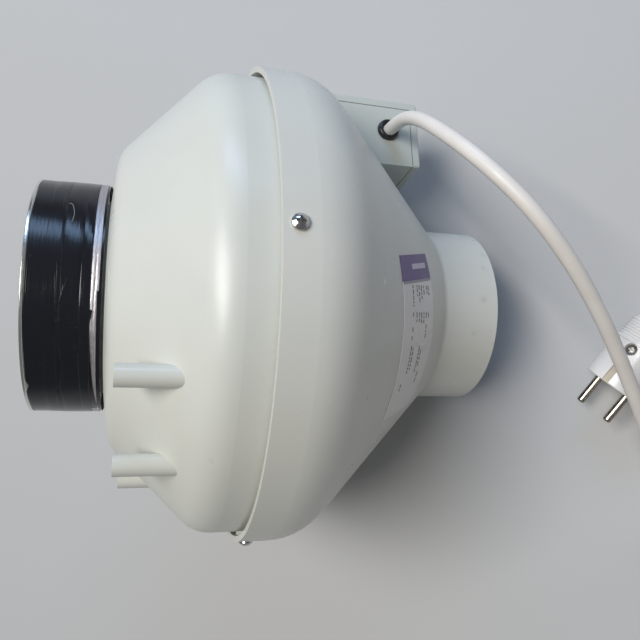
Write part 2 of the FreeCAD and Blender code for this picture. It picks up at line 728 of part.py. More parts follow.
def lead_hole():
    """The round hole through the casing and the box floor for the motor's lead."""
    low = cone_point(LEAD_ALONG_CONE, -12)
    high = cone_point(LEAD_ALONG_CONE, 4)
    return at_angle(rod(LEAD_R + LEAD_HOLE_GAP, (*low, LEAD_LINE), (*high, LEAD_LINE)), BOX_ANGLE)


def routed_tube(points, radius, bends=None):
    """A tube along straight runs joined by tangent arcs, and the smallest arc radius of its route."""
    places = [V(*p) for p in points]
    corners = [(places[0], 0)]
    radii = []
    for index in range(1, len(places) - 1):
        before = places[index] - places[index - 1]
        after = places[index + 1] - places[index]
        half_turn = before.getAngle(after) / 2
        bend = RUN_SHARE * min(before.Length, after.Length) / math.tan(half_turn)
        if bends:
            bend = min(bend, bends)
        radii.append(bend)
        corners.append((places[index], bend))
    corners.append((places[-1], 0))
    path = Part.Wire(rounded_edges(corners, False))
    start_direction = places[1] - places[0]
    ring = Part.Wire(Part.makeCircle(radius, places[0], start_direction))
    solid = path.makePipeShell([ring], True, False)
    return solid, radii, path.Length


def motor_lead():
    """The motor's lead, from behind the support plate through the cone to the terminal block."""
    behind = SUPPORT_X[1] + LEAD_R + 0.4
    corner = cone_point(LEAD_ALONG_CONE, 0)
    turn_h = behind + corner[1] - corner[0]
    bend = cone_point(LEAD_ALONG_CONE, LEAD_HEIGHT)
    end = cone_point(WIRE_REACH, LEAD_HEIGHT)
    route = [(*place, LEAD_LINE) for place in ((behind, LEAD_INNER_H), (behind, turn_h), bend, end)]
    lead, _, _ = routed_tube(route, LEAD_R, bends=LEAD_BEND_R)
    return at_angle(lead, BOX_ANGLE)


def lid_post(side):
    """The upright post and its web to the cheek on one side of the box, with the height of its top."""
    x, w = LID_POST[0], LID_POST[1] * side
    top = BOX_TOP - LID_RIM - LID_SEAM
    post = rod(LID_POST_R, (x, BOX_LOW, w), (x, top, w))
    web_w = min(w, w + side * 4.0)
    return post.fuse(Part.makeBox(LID_POST_R * 2, top - BOX_LOW, 4.0, V(x - LID_POST_R, BOX_LOW, web_w)))


def terminal_box_base():
    """The wedge-shaped box on the cone: floor, two cheeks and low wall, open where the lid sits."""
    top = BOX_TOP - LID_RIM - LID_SEAM
    end = BOX_END - LID_RIM - LID_SEAM
    inner = BOX_HALF - BOX_WALL
    start = 20.0
    beyond_x, beyond_h = 130.0, 150.0
    low_inside = BOX_LOW + BOX_WALL
    body = slab([(start, BOX_LOW), (end, BOX_LOW), (end, top), (start, top)], -BOX_HALF, BOX_HALF)
    room = slab([
        (0, low_inside), (beyond_x, low_inside), (beyond_x, beyond_h), (0, beyond_h),
    ], -inner, inner)
    body = body.cut(room.cut(casing_block(OUTLET_LINE, BOX_WALL)))
    body = body.cut(casing_block(OUTLET_LINE, TOUCH_GAP))
    for side in (-1, 1):
        x, w = LID_POST[0], LID_POST[1] * side
        hole = rod(LID_SCREW_R + HOLE_GAP, (x, top - LID_SCREW[2] - 2, w), (x, top + 1, w))
        body = body.fuse(lid_post(side)).cut(hole)
    gx, gh = GROMMET
    body = body.cut(rod(GROMMET_HOLE_R, (gx, gh, inner - 1), (gx, gh, BOX_HALF + 1)))
    return at_angle(body, BOX_ANGLE).cut(lead_hole())


def lid_blank():
    """The lid's outer block, with its long outer edges rounded."""
    seam_h = BOX_TOP - LID_RIM
    seam_x = BOX_END - LID_RIM
    block = slab([
        (BOX_TAIL, seam_h), (seam_x, seam_h), (seam_x, BOX_LOW), (BOX_END, BOX_LOW, 1.5),
        (BOX_END, BOX_TOP, 2.5), (BOX_TAIL, BOX_TOP, 0.6),
    ], -BOX_HALF, BOX_HALF)
    rim = []
    for edge in block.Edges:
        centre = edge.CenterOfMass
        on_cheek = abs(abs(centre.z) - BOX_HALF) < 1e-6
        outward = centre.y > BOX_TOP - LID_RIM / 2 or centre.x > BOX_END - LID_RIM / 2
        if on_cheek and outward and centre.x > BOX_TAIL + 1:
            rim.append(edge)
    return block.makeFillet(LID_EDGE, rim)


def terminal_box_lid():
    """The angled lid over the box's outward side and its outlet side."""
    seam_h = BOX_TOP - LID_RIM
    seam_x = BOX_END - LID_RIM
    skin = BOX_WALL
    inner = BOX_HALF - skin
    pocket = slab([
        (BOX_TAIL + skin, seam_h - 1), (seam_x - 1, seam_h - 1), (seam_x - 1, BOX_LOW + skin),
        (BOX_END - skin, BOX_LOW + skin, 0.5), (BOX_END - skin, BOX_TOP - skin, 0.8),
        (BOX_TAIL + skin, BOX_TOP - skin),
    ], -inner, inner)
    body = lid_blank().cut(pocket).cut(casing_block(OUTLET_LINE, TOUCH_GAP))
    for side in (-1, 1):
        x, w = LID_POST[0], LID_POST[1] * side
        collar = rod(LID_POST_R, (x, seam_h, w), (x, BOX_TOP - 1, w))
        body = body.fuse(collar).cut(rod(LID_SCREW_R + 0.45, (x, seam_h - 1, w), (x, BOX_TOP + 1, w)))
        body = body.cut(rod(LID_RECESS_R, (x, BOX_TOP - LID_RECESS_DEPTH, w), (x, BOX_TOP + 1, w)))
    return at_angle(body, BOX_ANGLE)


def lid_screws():
    """Two recessed screws that hold the lid."""
    head_r, head_height, length = LID_SCREW
    screw = pan_screw(head_r, head_height, LID_SCREW_R, length)
    x, w = LID_POST
    base = BOX_TOP - LID_RECESS_DEPTH + TOUCH_GAP
    placed = [aimed(screw, (x, base, w * side), (0, 1, 0)) for side in (-1, 1)]
    return at_angle(together(placed), BOX_ANGLE)


def on_block(shape):
    """A piece drawn about the terminal block's foot, laid on the cone and swung to the box."""
    laid = shape.copy()
    laid.rotate(ORIGIN, V(0, 0, 1), -45)
    laid.translate(V(BLOCK_FOOT[0], BLOCK_FOOT[1], 0))
    return at_angle(laid, BOX_ANGLE)


def terminal_block():
    """A three way screw terminal block on the box floor."""
    half, top, shoulder, height = BLOCK_HALF, BLOCK_TOP_HALF, BLOCK_SHOULDER, BLOCK_HEIGHT
    block = slab([
        (-half, 0), (half, 0), (half, shoulder, 0.6), (top, height, 0.6), (-top, height, 0.6),
        (-half, shoulder, 0.6),
    ], -BLOCK_LENGTH / 2, BLOCK_LENGTH / 2)
    for way in (-1, 0, 1):
        w = BLOCK_PITCH * way
        block = block.cut(rod(BLOCK_SOCKET_R, (0, BLOCK_SOCKET_FLOOR, w), (0, height + 1, w)))
    depth = height - BLOCK_SPLIT_FLOOR + 1
    for side in (-1, 1):
        w = (BLOCK_PITCH * side - BLOCK_SPLIT) / 2
        corner = V(-half - 0.5, BLOCK_SPLIT_FLOOR, w)
        block = block.cut(Part.makeBox(2 * half + 1, depth, BLOCK_SPLIT, corner))
    return on_block(block)


def terminal_screws():
    """The clamping screws in the terminal block."""
    low = BLOCK_SOCKET_FLOOR + 2 * TOUCH_GAP
    high = low + TERMINAL_SCREW_HEIGHT
    slot_width, slot_depth = TERMINAL_SLOT
    screws = []
    for way in (-1, 0, 1):
        w = BLOCK_PITCH * way
        slot = Part.makeBox(4, 1, slot_width, V(-2, high - slot_depth, w - slot_width / 2))
        screws.append(rod(TERMINAL_SCREW_R, (0, low, w), (0, high, w)).cut(slot))
    return on_block(together(screws))


def capacitor():
    """The motor's run capacitor, a can with a rounded end, across the box."""
    low, high = CAPACITOR_ENDS
    can = turned_solid([(low, 0), (low, CAPACITOR_R, 1.5), (high, CAPACITOR_R, 1.0), (high, 0)])
    can.rotate(ORIGIN, V(0, 1, 0), -90)
    can.translate(V(CAPACITOR[0], CAPACITOR[1], 0))
    return at_angle(can, BOX_ANGLE)


def capacitor_clip():
    """A sprung saddle that holds the capacitor on the box's low wall."""
    x, h = CAPACITOR
    inner = CAPACITOR_R + CLIP_GAP
    start, end = CLIP_WIDTH
    width = end - start
    saddle = tube(inner + CLIP_STEEL, inner, (x, h, start), (x, h, end))
    opening = 4 * inner
    corner = V(x - opening / 2, h + CLIP_REACH, start - 1)
    saddle = saddle.cut(Part.makeBox(opening, opening, width + 2, corner))
    floor = BOX_LOW + BOX_WALL + TOUCH_GAP
    foot = Part.makeBox(CLIP_FOOT, h - inner - floor - 0.2, width, V(x - CLIP_FOOT / 2, floor, start))
    foot = foot.cut(rod(inner + 0.3, (x, h, start - 1), (x, h, end + 1)))
    return at_angle(saddle.fuse(foot), BOX_ANGLE)


def cord_clamp():
    """The two-screw clamp that grips the cord's leads behind the grommet."""
    x, h = GROMMET
    high = BOX_HALF - BOX_WALL - GROMMET_FLANGE - 0.4
    low = high - CLAMP_DEPTH
    left, right = x - CLAMP_SIDES[0], x + CLAMP_SIDES[1]
    down, up = h - CLAMP_HALF, h + CLAMP_HALF
    corners = ((left, down), (right, down), (right, up), (left, up))
    block = slab([(*corner, CLAMP_ROUND) for corner in corners], low, high)
    return at_angle(block.cut(rod(INNER_LEAD_R + CLAMP_GAP, (x, h, low - 1), (x, h, high + 1))), BOX_ANGLE)


def inner_lead():
    """The cord's three wires as one bundle, from the grommet through the clamp to the terminals."""
    x, h = GROMMET
    start = BOX_HALF - BOX_WALL - LEAD_GAP
    turn_x, turn_h = INNER_LEAD_TURN
    route = [
        (x, h, start), (x, h, start - 12), (x - turn_x, h - turn_h, BLOCK_PITCH + 0.5),
        (*cone_point(17.0, INNER_LEAD_HEIGHT), BLOCK_PITCH),
        (*cone_point(WIRE_REACH, INNER_LEAD_HEIGHT), BLOCK_PITCH),
    ]
    lead, _, _ = routed_tube(route, INNER_LEAD_R, bends=INNER_LEAD_BEND_R)
    return at_angle(lead, BOX_ANGLE)


def cable_grommet():
    """The black rubber ring in the box's cheek where the cord comes out."""
    x, h = GROMMET
    inside = BOX_HALF - BOX_WALL
    outside = BOX_HALF + TOUCH_GAP
    proud = BOX_HALF + GROMMET_PROUD
    bore = CORD_R + TOUCH_GAP
    neck = GROMMET_HOLE_R - TOUCH_GAP
    inner_r = GROMMET_R - 0.4
    flange_end = inside - GROMMET_FLANGE
    seat = inside - TOUCH_GAP
    ring = turned_solid([
        (flange_end, bore), (flange_end, inner_r, 0.8), (seat, inner_r), (seat, neck), (outside, neck),
        (outside, GROMMET_R, 0.3), (proud, GROMMET_R - 0.6, 1.5), (proud, bore, 0.8),
    ])
    ring.rotate(ORIGIN, V(0, 1, 0), -90)
    ring.translate(V(x, h, 0))
    return at_angle(ring, BOX_ANGLE)


def inlet_adapter_ring():
    """The metal ring that widens the inlet spigot to the next duct size."""
    low, high = ADAPTER_X
    inner = ADAPTER_R - ADAPTER_WALL
    sleeve = SPIGOT_R + TOUCH_GAP * 2
    return turned_solid([
        (low, inner), (low, ADAPTER_RIM_R, 0.4), (low + ADAPTER_RIM, ADAPTER_RIM_R, 0.4),
        (low + ADAPTER_RIM, ADAPTER_R), (high, ADAPTER_R, ADAPTER_LIP_ROUND), (high, sleeve),
        (INLET_SPIGOT_X + 1, sleeve),
        (INLET_SPIGOT_X + 1, sleeve + ADAPTER_WALL), (high - ADAPTER_WALL, sleeve + ADAPTER_WALL),
        (high - ADAPTER_WALL, inner),
    ])


def black_tape_wrap():
    """Turns of black tape round the adapter ring."""
    low, high = TAPE_X
    under = ADAPTER_R + TOUCH_GAP
    return turned_solid([(low, under), (low, TAPE_R, 0.3), (high, TAPE_R, 0.3), (high, under)])


def foil_tape_band():
    """The strip of crinkled foil tape between the black tape and the casing."""
    low, high = FOIL_X
    under = ADAPTER_R + TOUCH_GAP
    return turned_solid([(low, under), (low, FOIL_R, 0.2), (high, FOIL_R, 0.2), (high, under)])


def cone_label(across):
    """A thin label on the cone, across a range sideways and along the labels' common range."""
    under, over = LABEL_LAYER
    layer = casing_block(OUTLET_LINE, over).cut(casing_block(OUTLET_LINE, under))
    low, high = LABEL_ALONG
    window = Part.makeBox(high - low, across[1] - across[0], LABEL_DEPTH, V(low, across[0], -LABEL_DEPTH / 2))
    window.rotate(ORIGIN, V(0, 1, 0), -135)
    window.translate(V(CONE_APEX_X, 0, 0))
    window.rotate(ORIGIN, AXIS, -LABEL_ANGLE)
    return layer.common(window)


def cord_piece(name, route):
    """A stretch of the cord's tube; prints its arcs and compares its volume with its section."""
    solid, radii, length = routed_tube(route, CORD_R)
    expected = math.pi * CORD_R ** 2 * length
    print(name, "arc radii", [round(r) for r in radii], "length", round(length, 1),
          "volume ratio", round(solid.Volume / expected, 4))
    return solid


def coil_ring(low_r, high_r, low_z, high_z, rounding=0.0, sweep=360.0, start=0.0):
    """A rectangle, with rounded corners, turned about the coil's upright axis."""
    corners = [(low_r, low_z), (high_r, low_z), (high_r, high_z), (low_r, high_z)]
    face = flat_face([(r, z, rounding) for r, z in corners])
    face.rotate(ORIGIN, AXIS, 90)
    solid = face.revolve(ORIGIN, V(0, 0, 1), sweep)
    solid.rotate(ORIGIN, V(0, 0, 1), start)
    solid.translate(V(*COIL_CENTRE, 0))
    return solid


def mains_cord_coil():
    """The outer shape of the coil of spare cord."""
    low, high = COIL_MEAN_R - COIL_HALF, COIL_MEAN_R + COIL_HALF
    return coil_ring(low, high, COIL_LOW, COIL_LOW + 2 * COIL_HALF, 2.5)


def cord_tie():
    """Two hook and loop bands round the coil."""
    low, high = COIL_MEAN_R - COIL_HALF, COIL_MEAN_R + COIL_HALF
    top = COIL_LOW + 2 * COIL_HALF
    gap, wall = TOUCH_GAP, TIE_WALL
    bands = []
    for start in TIE_ANGLES:
        outer = coil_ring(low - wall, high + wall, COIL_LOW - wall, top + wall, 0.0, TIE_SWEEP, start)
        inner = coil_ring(low - gap, high + gap, COIL_LOW - gap, top + gap, 0.0, TIE_SWEEP, start)
        bands.append(outer.cut(inner))
    return together(bands)


def at_plug(shape):
    """A plug piece drawn with its face at x = 0 and its pins along +x, rolled and laid on the floor."""
    laid = shape.copy()
    laid.rotate(ORIGIN, AXIS, PLUG_ROLL)
    laid.rotate(ORIGIN, V(0, 0, 1), PLUG_HEADING)
    laid.translate(V(*PLUG_FACE))
    return laid


def grip_outline():
    """The ribbed grip's outline, from its narrow end to the bead in front of it."""
    points = []
    for index in range(RIB_COUNT):
        start = GRIP_X + RIB_PITCH * index
        middle = start + RIB_PITCH / 2
        for x, depth in ((start, 0), (middle, 0), (middle, RIB_DEPTH), (start + RIB_PITCH, RIB_DEPTH)):
            points.append((x, GRIP_R + (x - GRIP_X) * GRIP_TAPER - depth, RIB_ROUND))
    return points


def plug_blank():
    """The plug's whole body: round front, beaded and ribbed grip, neck, earth channels and holes."""
    bead_low, bead_high = PLUG_BEAD_X
    body = turned_solid([
        (-PLUG_LENGTH, 0), (-PLUG_LENGTH, NECK_END_R, 0.6),
        (NECK_X, NECK_R, 3.0), (NECK_X + 1.5, 13.4, 3.0), *grip_outline(),
        (bead_low, PLUG_R + PLUG_BEAD, 0.3), (bead_high, PLUG_R + PLUG_BEAD, 0.3), (bead_high, PLUG_R),
        (0, PLUG_R, 0.8), (0, 0),
    ])
    for side in (-1, 1):
        low_z = min(side * EARTH_FLOOR, side * (PLUG_R + 1))
        height = PLUG_R + 1 - EARTH_FLOOR
        body = body.cut(Part.makeBox(EARTH_LENGTH + 1, EARTH_WIDTH, height,
                                     V(-EARTH_LENGTH, -EARTH_WIDTH / 2, low_z)))
        pin_y = side * PIN_SPACING / 2
        body = body.cut(rod(PIN_R + TOUCH_GAP, (-PIN_ROOT, pin_y, 0), (1, pin_y, 0)))
    recess = rod(PLUG_RECESS_R, (PLUG_SCREW_X, 0, PLUG_SCREW_SEAT), (PLUG_SCREW_X, 0, PLUG_R + 1))
    thread = rod(PLUG_SCREW_SHANK_R + HOLE_GAP, (PLUG_SCREW_X, 0, PLUG_SCREW_SEAT - PLUG_SCREW[2] - 1),
                 (PLUG_SCREW_X, 0, PLUG_SCREW_SEAT + 1))
    return body.cut(recess).cut(thread)


def plug_half(upper):
    """One half of the plug's body, split along the plane of the pins."""
    gap = TOUCH_GAP / 2
    reach = PLUG_LENGTH + PIN_LENGTH
    height = 2 * PLUG_R
    low_z = gap if upper else -height - gap
    window = Part.makeBox(2 * reach, 2 * height, height, V(-reach, -height, low_z))
    return at_plug(plug_blank().common(window))


def plug_pins():
    """The two round pins."""
    root = -PIN_ROOT + 0.1
    pin = turned_solid([(root, 0), (root, PIN_R), (PIN_LENGTH, PIN_R, 1.4), (PIN_LENGTH, 0)])
    pins = []
    for side in (-1, 1):
        one = pin.copy()
        one.translate(V(0, side * PIN_SPACING / 2, 0))
        pins.append(one)
    return at_plug(together(pins))


def plug_earth_clips():
    """The earth strips in the channels above and below the pins."""
    width = EARTH_WIDTH - 0.2
    length = EARTH_LENGTH - 0.3
    strips = []
    for side in (-1, 1):
        near = side * (EARTH_FLOOR + TOUCH_GAP)
        low_z = min(near, near + side * EARTH_THICKNESS)
        strips.append(Part.makeBox(length, width, EARTH_THICKNESS, V(-EARTH_LENGTH + 0.1, -width / 2, low_z)))
    return at_plug(together(strips))


def plug_screw():
    """The screw that holds the plug's two halves together."""
    head_r, head_height, length = PLUG_SCREW
    screw = pan_screw(head_r, head_height, PLUG_SCREW_SHANK_R, length)
    return at_plug(aimed(screw, (PLUG_SCREW_X, 0, PLUG_SCREW_SEAT + TOUCH_GAP), (0, 0, 1)))


def rest_on_floor(shape, tilt, shift):
    """A fan piece turned by the resting tilt and moved so that the fan stands centred on z = 0."""
    laid = shape.copy()
    laid.rotate(ORIGIN, V(0, 1, 0), tilt)
    laid.translate(shift)
    return laid


def fan_pieces():
    """Every piece of the fan itself, in duct coordinates."""
    return {
        "inlet_housing": nozzle_seats(inlet_housing()),
        "outlet_housing": outlet_housing(),
        "housing_seal": housing_seal(),
        "housing_screws": housing_screws(),
        "inlet_nozzle": inlet_nozzle(),
        "nozzle_screws": nozzle_screws(),
        "impeller_shroud": impeller_shroud(),
        "impeller_blades": impeller_blades(),
        "impeller_backplate": impeller_backplate(),
        "impeller_rivets": impeller_rivets(),
        "rotor_shell": rotor_shell(),
        "rotor_cage": rotor_cage(),
        "motor_shaft": motor_shaft(),
        "retaining_ring": retaining_ring(),
        "front_bearing": bearing(FRONT_BEARING_X),
        "rear_bearing": bearing(REAR_BEARING_X),
        "motor_flange": motor_flange(),
        "stator_core": stator_core(),
        "stator_windings": stator_windings(),
        "motor_support": motor_support(),
        "support_screws": support_screws(),
        "motor_screws": motor_screws(),
        "motor_lead": motor_lead(),
        "terminal_box_base": terminal_box_base(),
        "terminal_box_lid": terminal_box_lid(),
        "lid_screws": lid_screws(),
        "terminal_block": terminal_block(),
        "terminal_screws": terminal_screws(),
        "capacitor": capacitor(),
        "capacitor_clip": capacitor_clip(),
        "cord_clamp": cord_clamp(),
        "inner_lead": inner_lead(),
        "cable_grommet": cable_grommet(),
        "inlet_adapter_ring": inlet_adapter_ring(),
        "black_tape_wrap": black_tape_wrap(),
        "foil_tape_band": foil_tape_band(),
        "rating_label": cone_label(RATING_ACROSS),
        "accent_label": cone_label(ACCENT_ACROSS),
    }


def cord_pieces():
    """The cord, its coil and tie, and the plug's pieces, in floor coordinates."""
    return {
        "mains_cord": cord_piece("mains_cord", CORD_EXIT_ROUTE),
        "mains_cord_coil": mains_cord_coil(),
        "mains_cord_tail": cord_piece("mains_cord_tail", CORD_TAIL_ROUTE),
        "cord_tie": cord_tie(),
        "plug_body": plug_half(False),
        "plug_cover": plug_half(True),
        "plug_pins": plug_pins(),
        "plug_earth_clips": plug_earth_clips(),
        "plug_screw": plug_screw(),
    }


def main():
    os.makedirs("parts", exist_ok=True)
    tilt = resting_tilt()
    fan = fan_pieces()
    outer = [rest_on_floor(fan[name], tilt, ORIGIN) for name in OUTER_PIECES]
    box = together(outer).optimalBoundingBox(False, False)
    shift = V(-(box.XMin + box.XMax) / 2, -(box.YMin + box.YMax) / 2, -box.ZMin)
    print("tilt", round(tilt, 3), "shift", [round(c, 3) for c in shift],
          "size", round(box.XLength, 2), round(box.YLength, 2), round(box.ZLength, 2))
    nodes = {name: rest_on_floor(shape, tilt, shift) for name, shape in fan.items()}
    nodes.update(cord_pieces())
    for name, shape in nodes.items():
        if not shape.isValid() or shape.Volume <= 0:
            print("BAD SHAPE", name)
        shape.exportStep(f"parts/{name}.step")
    print(len(nodes), "nodes")


main()
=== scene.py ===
import json
import math
import random

import bmesh
import bpy
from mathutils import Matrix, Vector, noise


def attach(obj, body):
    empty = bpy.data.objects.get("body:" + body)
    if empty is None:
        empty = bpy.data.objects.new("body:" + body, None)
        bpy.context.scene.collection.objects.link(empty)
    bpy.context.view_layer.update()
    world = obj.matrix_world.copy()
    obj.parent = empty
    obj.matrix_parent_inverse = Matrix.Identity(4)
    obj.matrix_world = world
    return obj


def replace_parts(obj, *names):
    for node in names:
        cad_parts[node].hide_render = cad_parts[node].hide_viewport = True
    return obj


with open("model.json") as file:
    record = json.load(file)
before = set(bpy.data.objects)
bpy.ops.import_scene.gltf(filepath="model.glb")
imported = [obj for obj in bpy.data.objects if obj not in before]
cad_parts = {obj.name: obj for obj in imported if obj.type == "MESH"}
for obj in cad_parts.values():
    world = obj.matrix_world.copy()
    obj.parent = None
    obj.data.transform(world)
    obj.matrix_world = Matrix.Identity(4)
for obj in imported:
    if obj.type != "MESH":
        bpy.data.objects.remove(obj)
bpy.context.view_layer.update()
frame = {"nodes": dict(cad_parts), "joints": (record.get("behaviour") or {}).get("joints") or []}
NODES = frame["nodes"]
MM = 0.001
TWO_PI = 2 * math.pi

# The duct's own frame, from the impeller's joint: x along the duct towards the outlet, y sideways towards
# the terminal box, z square to both.  Its origin is at the edge of the outlet casing's skirt.
JOINT = frame["joints"][0]
DUCT_ORIGIN = Vector(JOINT["pos_m"])
DUCT_X = Vector(JOINT["axis"]).normalized()
DUCT_Y = Vector((0, 1, 0))
DUCT_Z = DUCT_X.cross(DUCT_Y)


def duct(x, y, z):
    """A point in the duct's frame, in millimetres, as a point in the row frame, in metres."""
    return DUCT_ORIGIN + (DUCT_X * x + DUCT_Y * y + DUCT_Z * z) * MM


def around(x, radius, angle):
    """A point at a distance along the duct, a radius and an angle in degrees from +z towards +y."""
    turn = math.radians(angle)
    return duct(x, radius * math.sin(turn), radius * math.cos(turn))


# ---------------------------------------------------------------- materials

DIRT_SHADE = 0.72
CLOUDED_METAL_SHADE = 0.8
DUST_ON_RUBBER = 0.12


def new_material(name, colour, roughness, metallic=0.0, **inputs):
    """A Principled material with constant values on its own sockets."""
    material = bpy.data.materials.new(name)
    material.use_nodes = True
    shader = material.node_tree.nodes["Principled BSDF"]
    shader.inputs["Base Color"].default_value = (*colour, 1)
    shader.inputs["Roughness"].default_value = roughness
    shader.inputs["Metallic"].default_value = metallic
    for key, value in inputs.items():
        shader.inputs[key.replace("_", " ")].default_value = value
    return material


def add_node(material, kind, **settings):
    """A node in the material, with its settings."""
    node = material.node_tree.nodes.new(kind)
    for key, value in settings.items():
        setattr(node, key, value)
    return node


def link(material, out_socket, in_socket):
    """Joins two sockets."""
    material.node_tree.links.new(out_socket, in_socket)


def shader_of(material):
    """The material's Principled node."""
    return material.node_tree.nodes["Principled BSDF"]


def place(material):
    """The object coordinate, in metres in the row frame."""
    return add_node(material, "ShaderNodeTexCoord").outputs["Object"]


def noise_value(material, scale, detail=3.0, roughness=0.5, vector=None, distortion=0.0):
    """Noise from 0 to 1 over the object coordinate."""
    node = add_node(material, "ShaderNodeTexNoise")
    node.inputs["Scale"].default_value = scale
    node.inputs["Detail"].default_value = detail
    node.inputs["Roughness"].default_value = roughness
    node.inputs["Distortion"].default_value = distortion
    link(material, vector if vector else place(material), node.inputs["Vector"])
    return node.outputs["Fac"]


def mapped(material, value, from_low, from_high, to_low, to_high):
    """The value moved from one range to another, and held inside it."""
    node = add_node(material, "ShaderNodeMapRange")
    for socket, number in zip(node.inputs[1:5], (from_low, from_high, to_low, to_high)):
        socket.default_value = number
    link(material, value, node.inputs[0])
    return node.outputs[0]


def math_value(material, operation, first, second=None):
    """A Math node on sockets or numbers."""
    node = add_node(material, "ShaderNodeMath", operation=operation)
    for socket, value in zip(node.inputs, (first, second)):
        if value is None:
            continue
        if isinstance(value, (int, float)):
            socket.default_value = value
        else:
            link(material, value, socket)
    return node.outputs[0]


def mixed_colour(material, factor, first, second):
    """A colour between two colours, each a socket or numbers."""
    node = add_node(material, "ShaderNodeMix", data_type="RGBA")
    link(material, factor, node.inputs["Factor"])
    for socket, value in ((node.inputs[6], first), (node.inputs[7], second)):
        if isinstance(value, tuple):
            socket.default_value = (*value, 1)
        else:
            link(material, value, socket)
    return node.outputs[2]


def set_bump(material, heights, distance=0.0005):
    """Bump from several (height socket, strength) pairs, one after the other."""
    previous = None
    for height, strength in heights:
        node = add_node(material, "ShaderNodeBump")
        node.inputs["Strength"].default_value = strength
        node.inputs["Distance"].default_value = distance
        link(material, height, node.inputs["Height"])
        if previous:
            link(material, previous, node.inputs["Normal"])
        previous = node.outputs["Normal"]
    link(material, previous, shader_of(material).inputs["Normal"])


def set_colour(material, socket):
    """Drives the shader's colour from a socket."""
    link(material, socket, shader_of(material).inputs["Base Color"])


def set_roughness(material, socket):
    """Drives the shader's roughness from a socket."""
    link(material, socket, shader_of(material).inputs["Roughness"])


def moulded_plastic(name, colour, shade, roughness, scuffs=0.3):
    """Satin moulded plastic: faint mottling, dust in patches, fine grain, short scuffs."""
    material = new_material(name, colour, roughness)
    patches = noise_value(material, 14, 4, 0.6)
    tone = mixed_colour(material, mapped(material, patches, 0.35, 0.7, 0, 1), colour, shade)
    stretched = add_node(material, "ShaderNodeMapping")
    stretched.inputs["Rotation"].default_value = (0.3, 0.9, 0.5)
    stretched.inputs["Scale"].default_value = (1, 9, 3)
    link(material, place(material), stretched.inputs["Vector"])
    marks = noise_value(material, 60, 5, 0.7, vector=stretched.outputs["Vector"])
    scuff = mapped(material, marks, 0.64, 0.78, 0, scuffs)
    dirt = tuple(c * DIRT_SHADE for c in colour)
    set_colour(material, mixed_colour(material, scuff, tone, dirt))
    set_roughness(material, mapped(material, noise_value(material, 35, 4, 0.6), 0.3, 0.75,
                                   roughness - 0.06, roughness + 0.10))
    grain = noise_value(material, 1500, 2)
    waves = noise_value(material, 45, 2)
    set_bump(material, [(waves, 0.03), (grain, 0.05), (marks, 0.03)])
    return material


def metal(name, colour, roughness, grain=900, strength=0.08):
    """Metal with fine grain and slight changes of polish."""
    material = new_material(name, colour, roughness, 1.0)
    cloud = noise_value(material, 70, 4, 0.6)
    set_colour(material, mixed_colour(material, mapped(material, cloud, 0.35, 0.7, 0, 1), colour,
                                      tuple(c * CLOUDED_METAL_SHADE for c in colour)))
    set_roughness(material, mapped(material, cloud, 0.3, 0.7, roughness - 0.07, roughness + 0.1))
    set_bump(material, [(noise_value(material, grain, 3), strength)])
    return material


def rubber(name, colour, roughness):
    """Rubber or soft plastic with a slight grain and dust."""
    material = new_material(name, colour, roughness)
    dust = mapped(material, noise_value(material, 120, 4, 0.65), 0.52, 0.75, 0, 0.25)
    set_colour(material, mixed_colour(material, dust, colour, tuple(c + DUST_ON_RUBBER for c in colour)))
    set_bump(material, [(noise_value(material, 1100, 2), 0.08)])
    return material


def pvc(name, colour, shade, roughness=0.36):
    """Cord sheath: soft gloss with faint handling marks."""
    material = new_material(name, colour, roughness)
    cloud = noise_value(material, 55, 4, 0.6)
    set_colour(material, mixed_colour(material, mapped(material, cloud, 0.4, 0.75, 0, 1), colour, shade))
    set_roughness(material, mapped(material, cloud, 0.3, 0.7, roughness - 0.05, roughness + 0.12))
    set_bump(material, [(noise_value(material, 260, 3), 0.04)])
    return material


def duct_vector(material, along, across):
    """The place in the duct's frame in millimetres, scaled along the duct and across it."""
    parts = add_node(material, "ShaderNodeCombineXYZ")
    for socket, axis, scale in zip(parts.inputs, (DUCT_X, DUCT_Y, DUCT_Z), (along, across, across)):
        node = add_node(material, "ShaderNodeVectorMath", operation="DOT_PRODUCT")
        link(material, place(material), node.inputs[0])
        node.inputs[1].default_value = axis / MM * scale
        link(material, node.outputs["Value"], socket)
    return parts.outputs[0]


def spot(material, centre, radius, softness=0.6):
    """One inside a ball round a point, fading to zero towards its edge."""
    node = add_node(material, "ShaderNodeVectorMath", operation="DISTANCE")
    link(material, place(material), node.inputs[0])
    node.inputs[1].default_value = centre
    return mapped(material, node.outputs["Value"], radius * (1 - softness) * MM, radius * MM, 1, 0)


def add_marks(material, marks, colour, strength):
    """Small soiled places on the casing: (centre, radius) pairs, broken up by noise."""
    shader = shader_of(material)
    base = shader.inputs["Base Color"].links[0].from_socket
    broken = mapped(material, noise_value(material, 420, 4, 0.7), 0.35, 0.62, 0.15, 1)
    for centre, radius in marks:
        mask = math_value(material, "MULTIPLY", spot(material, centre, radius, 0.8), broken)
        mask = math_value(material, "MULTIPLY", mask, strength)
        base = mixed_colour(material, mask, base, colour)
    set_colour(material, base)


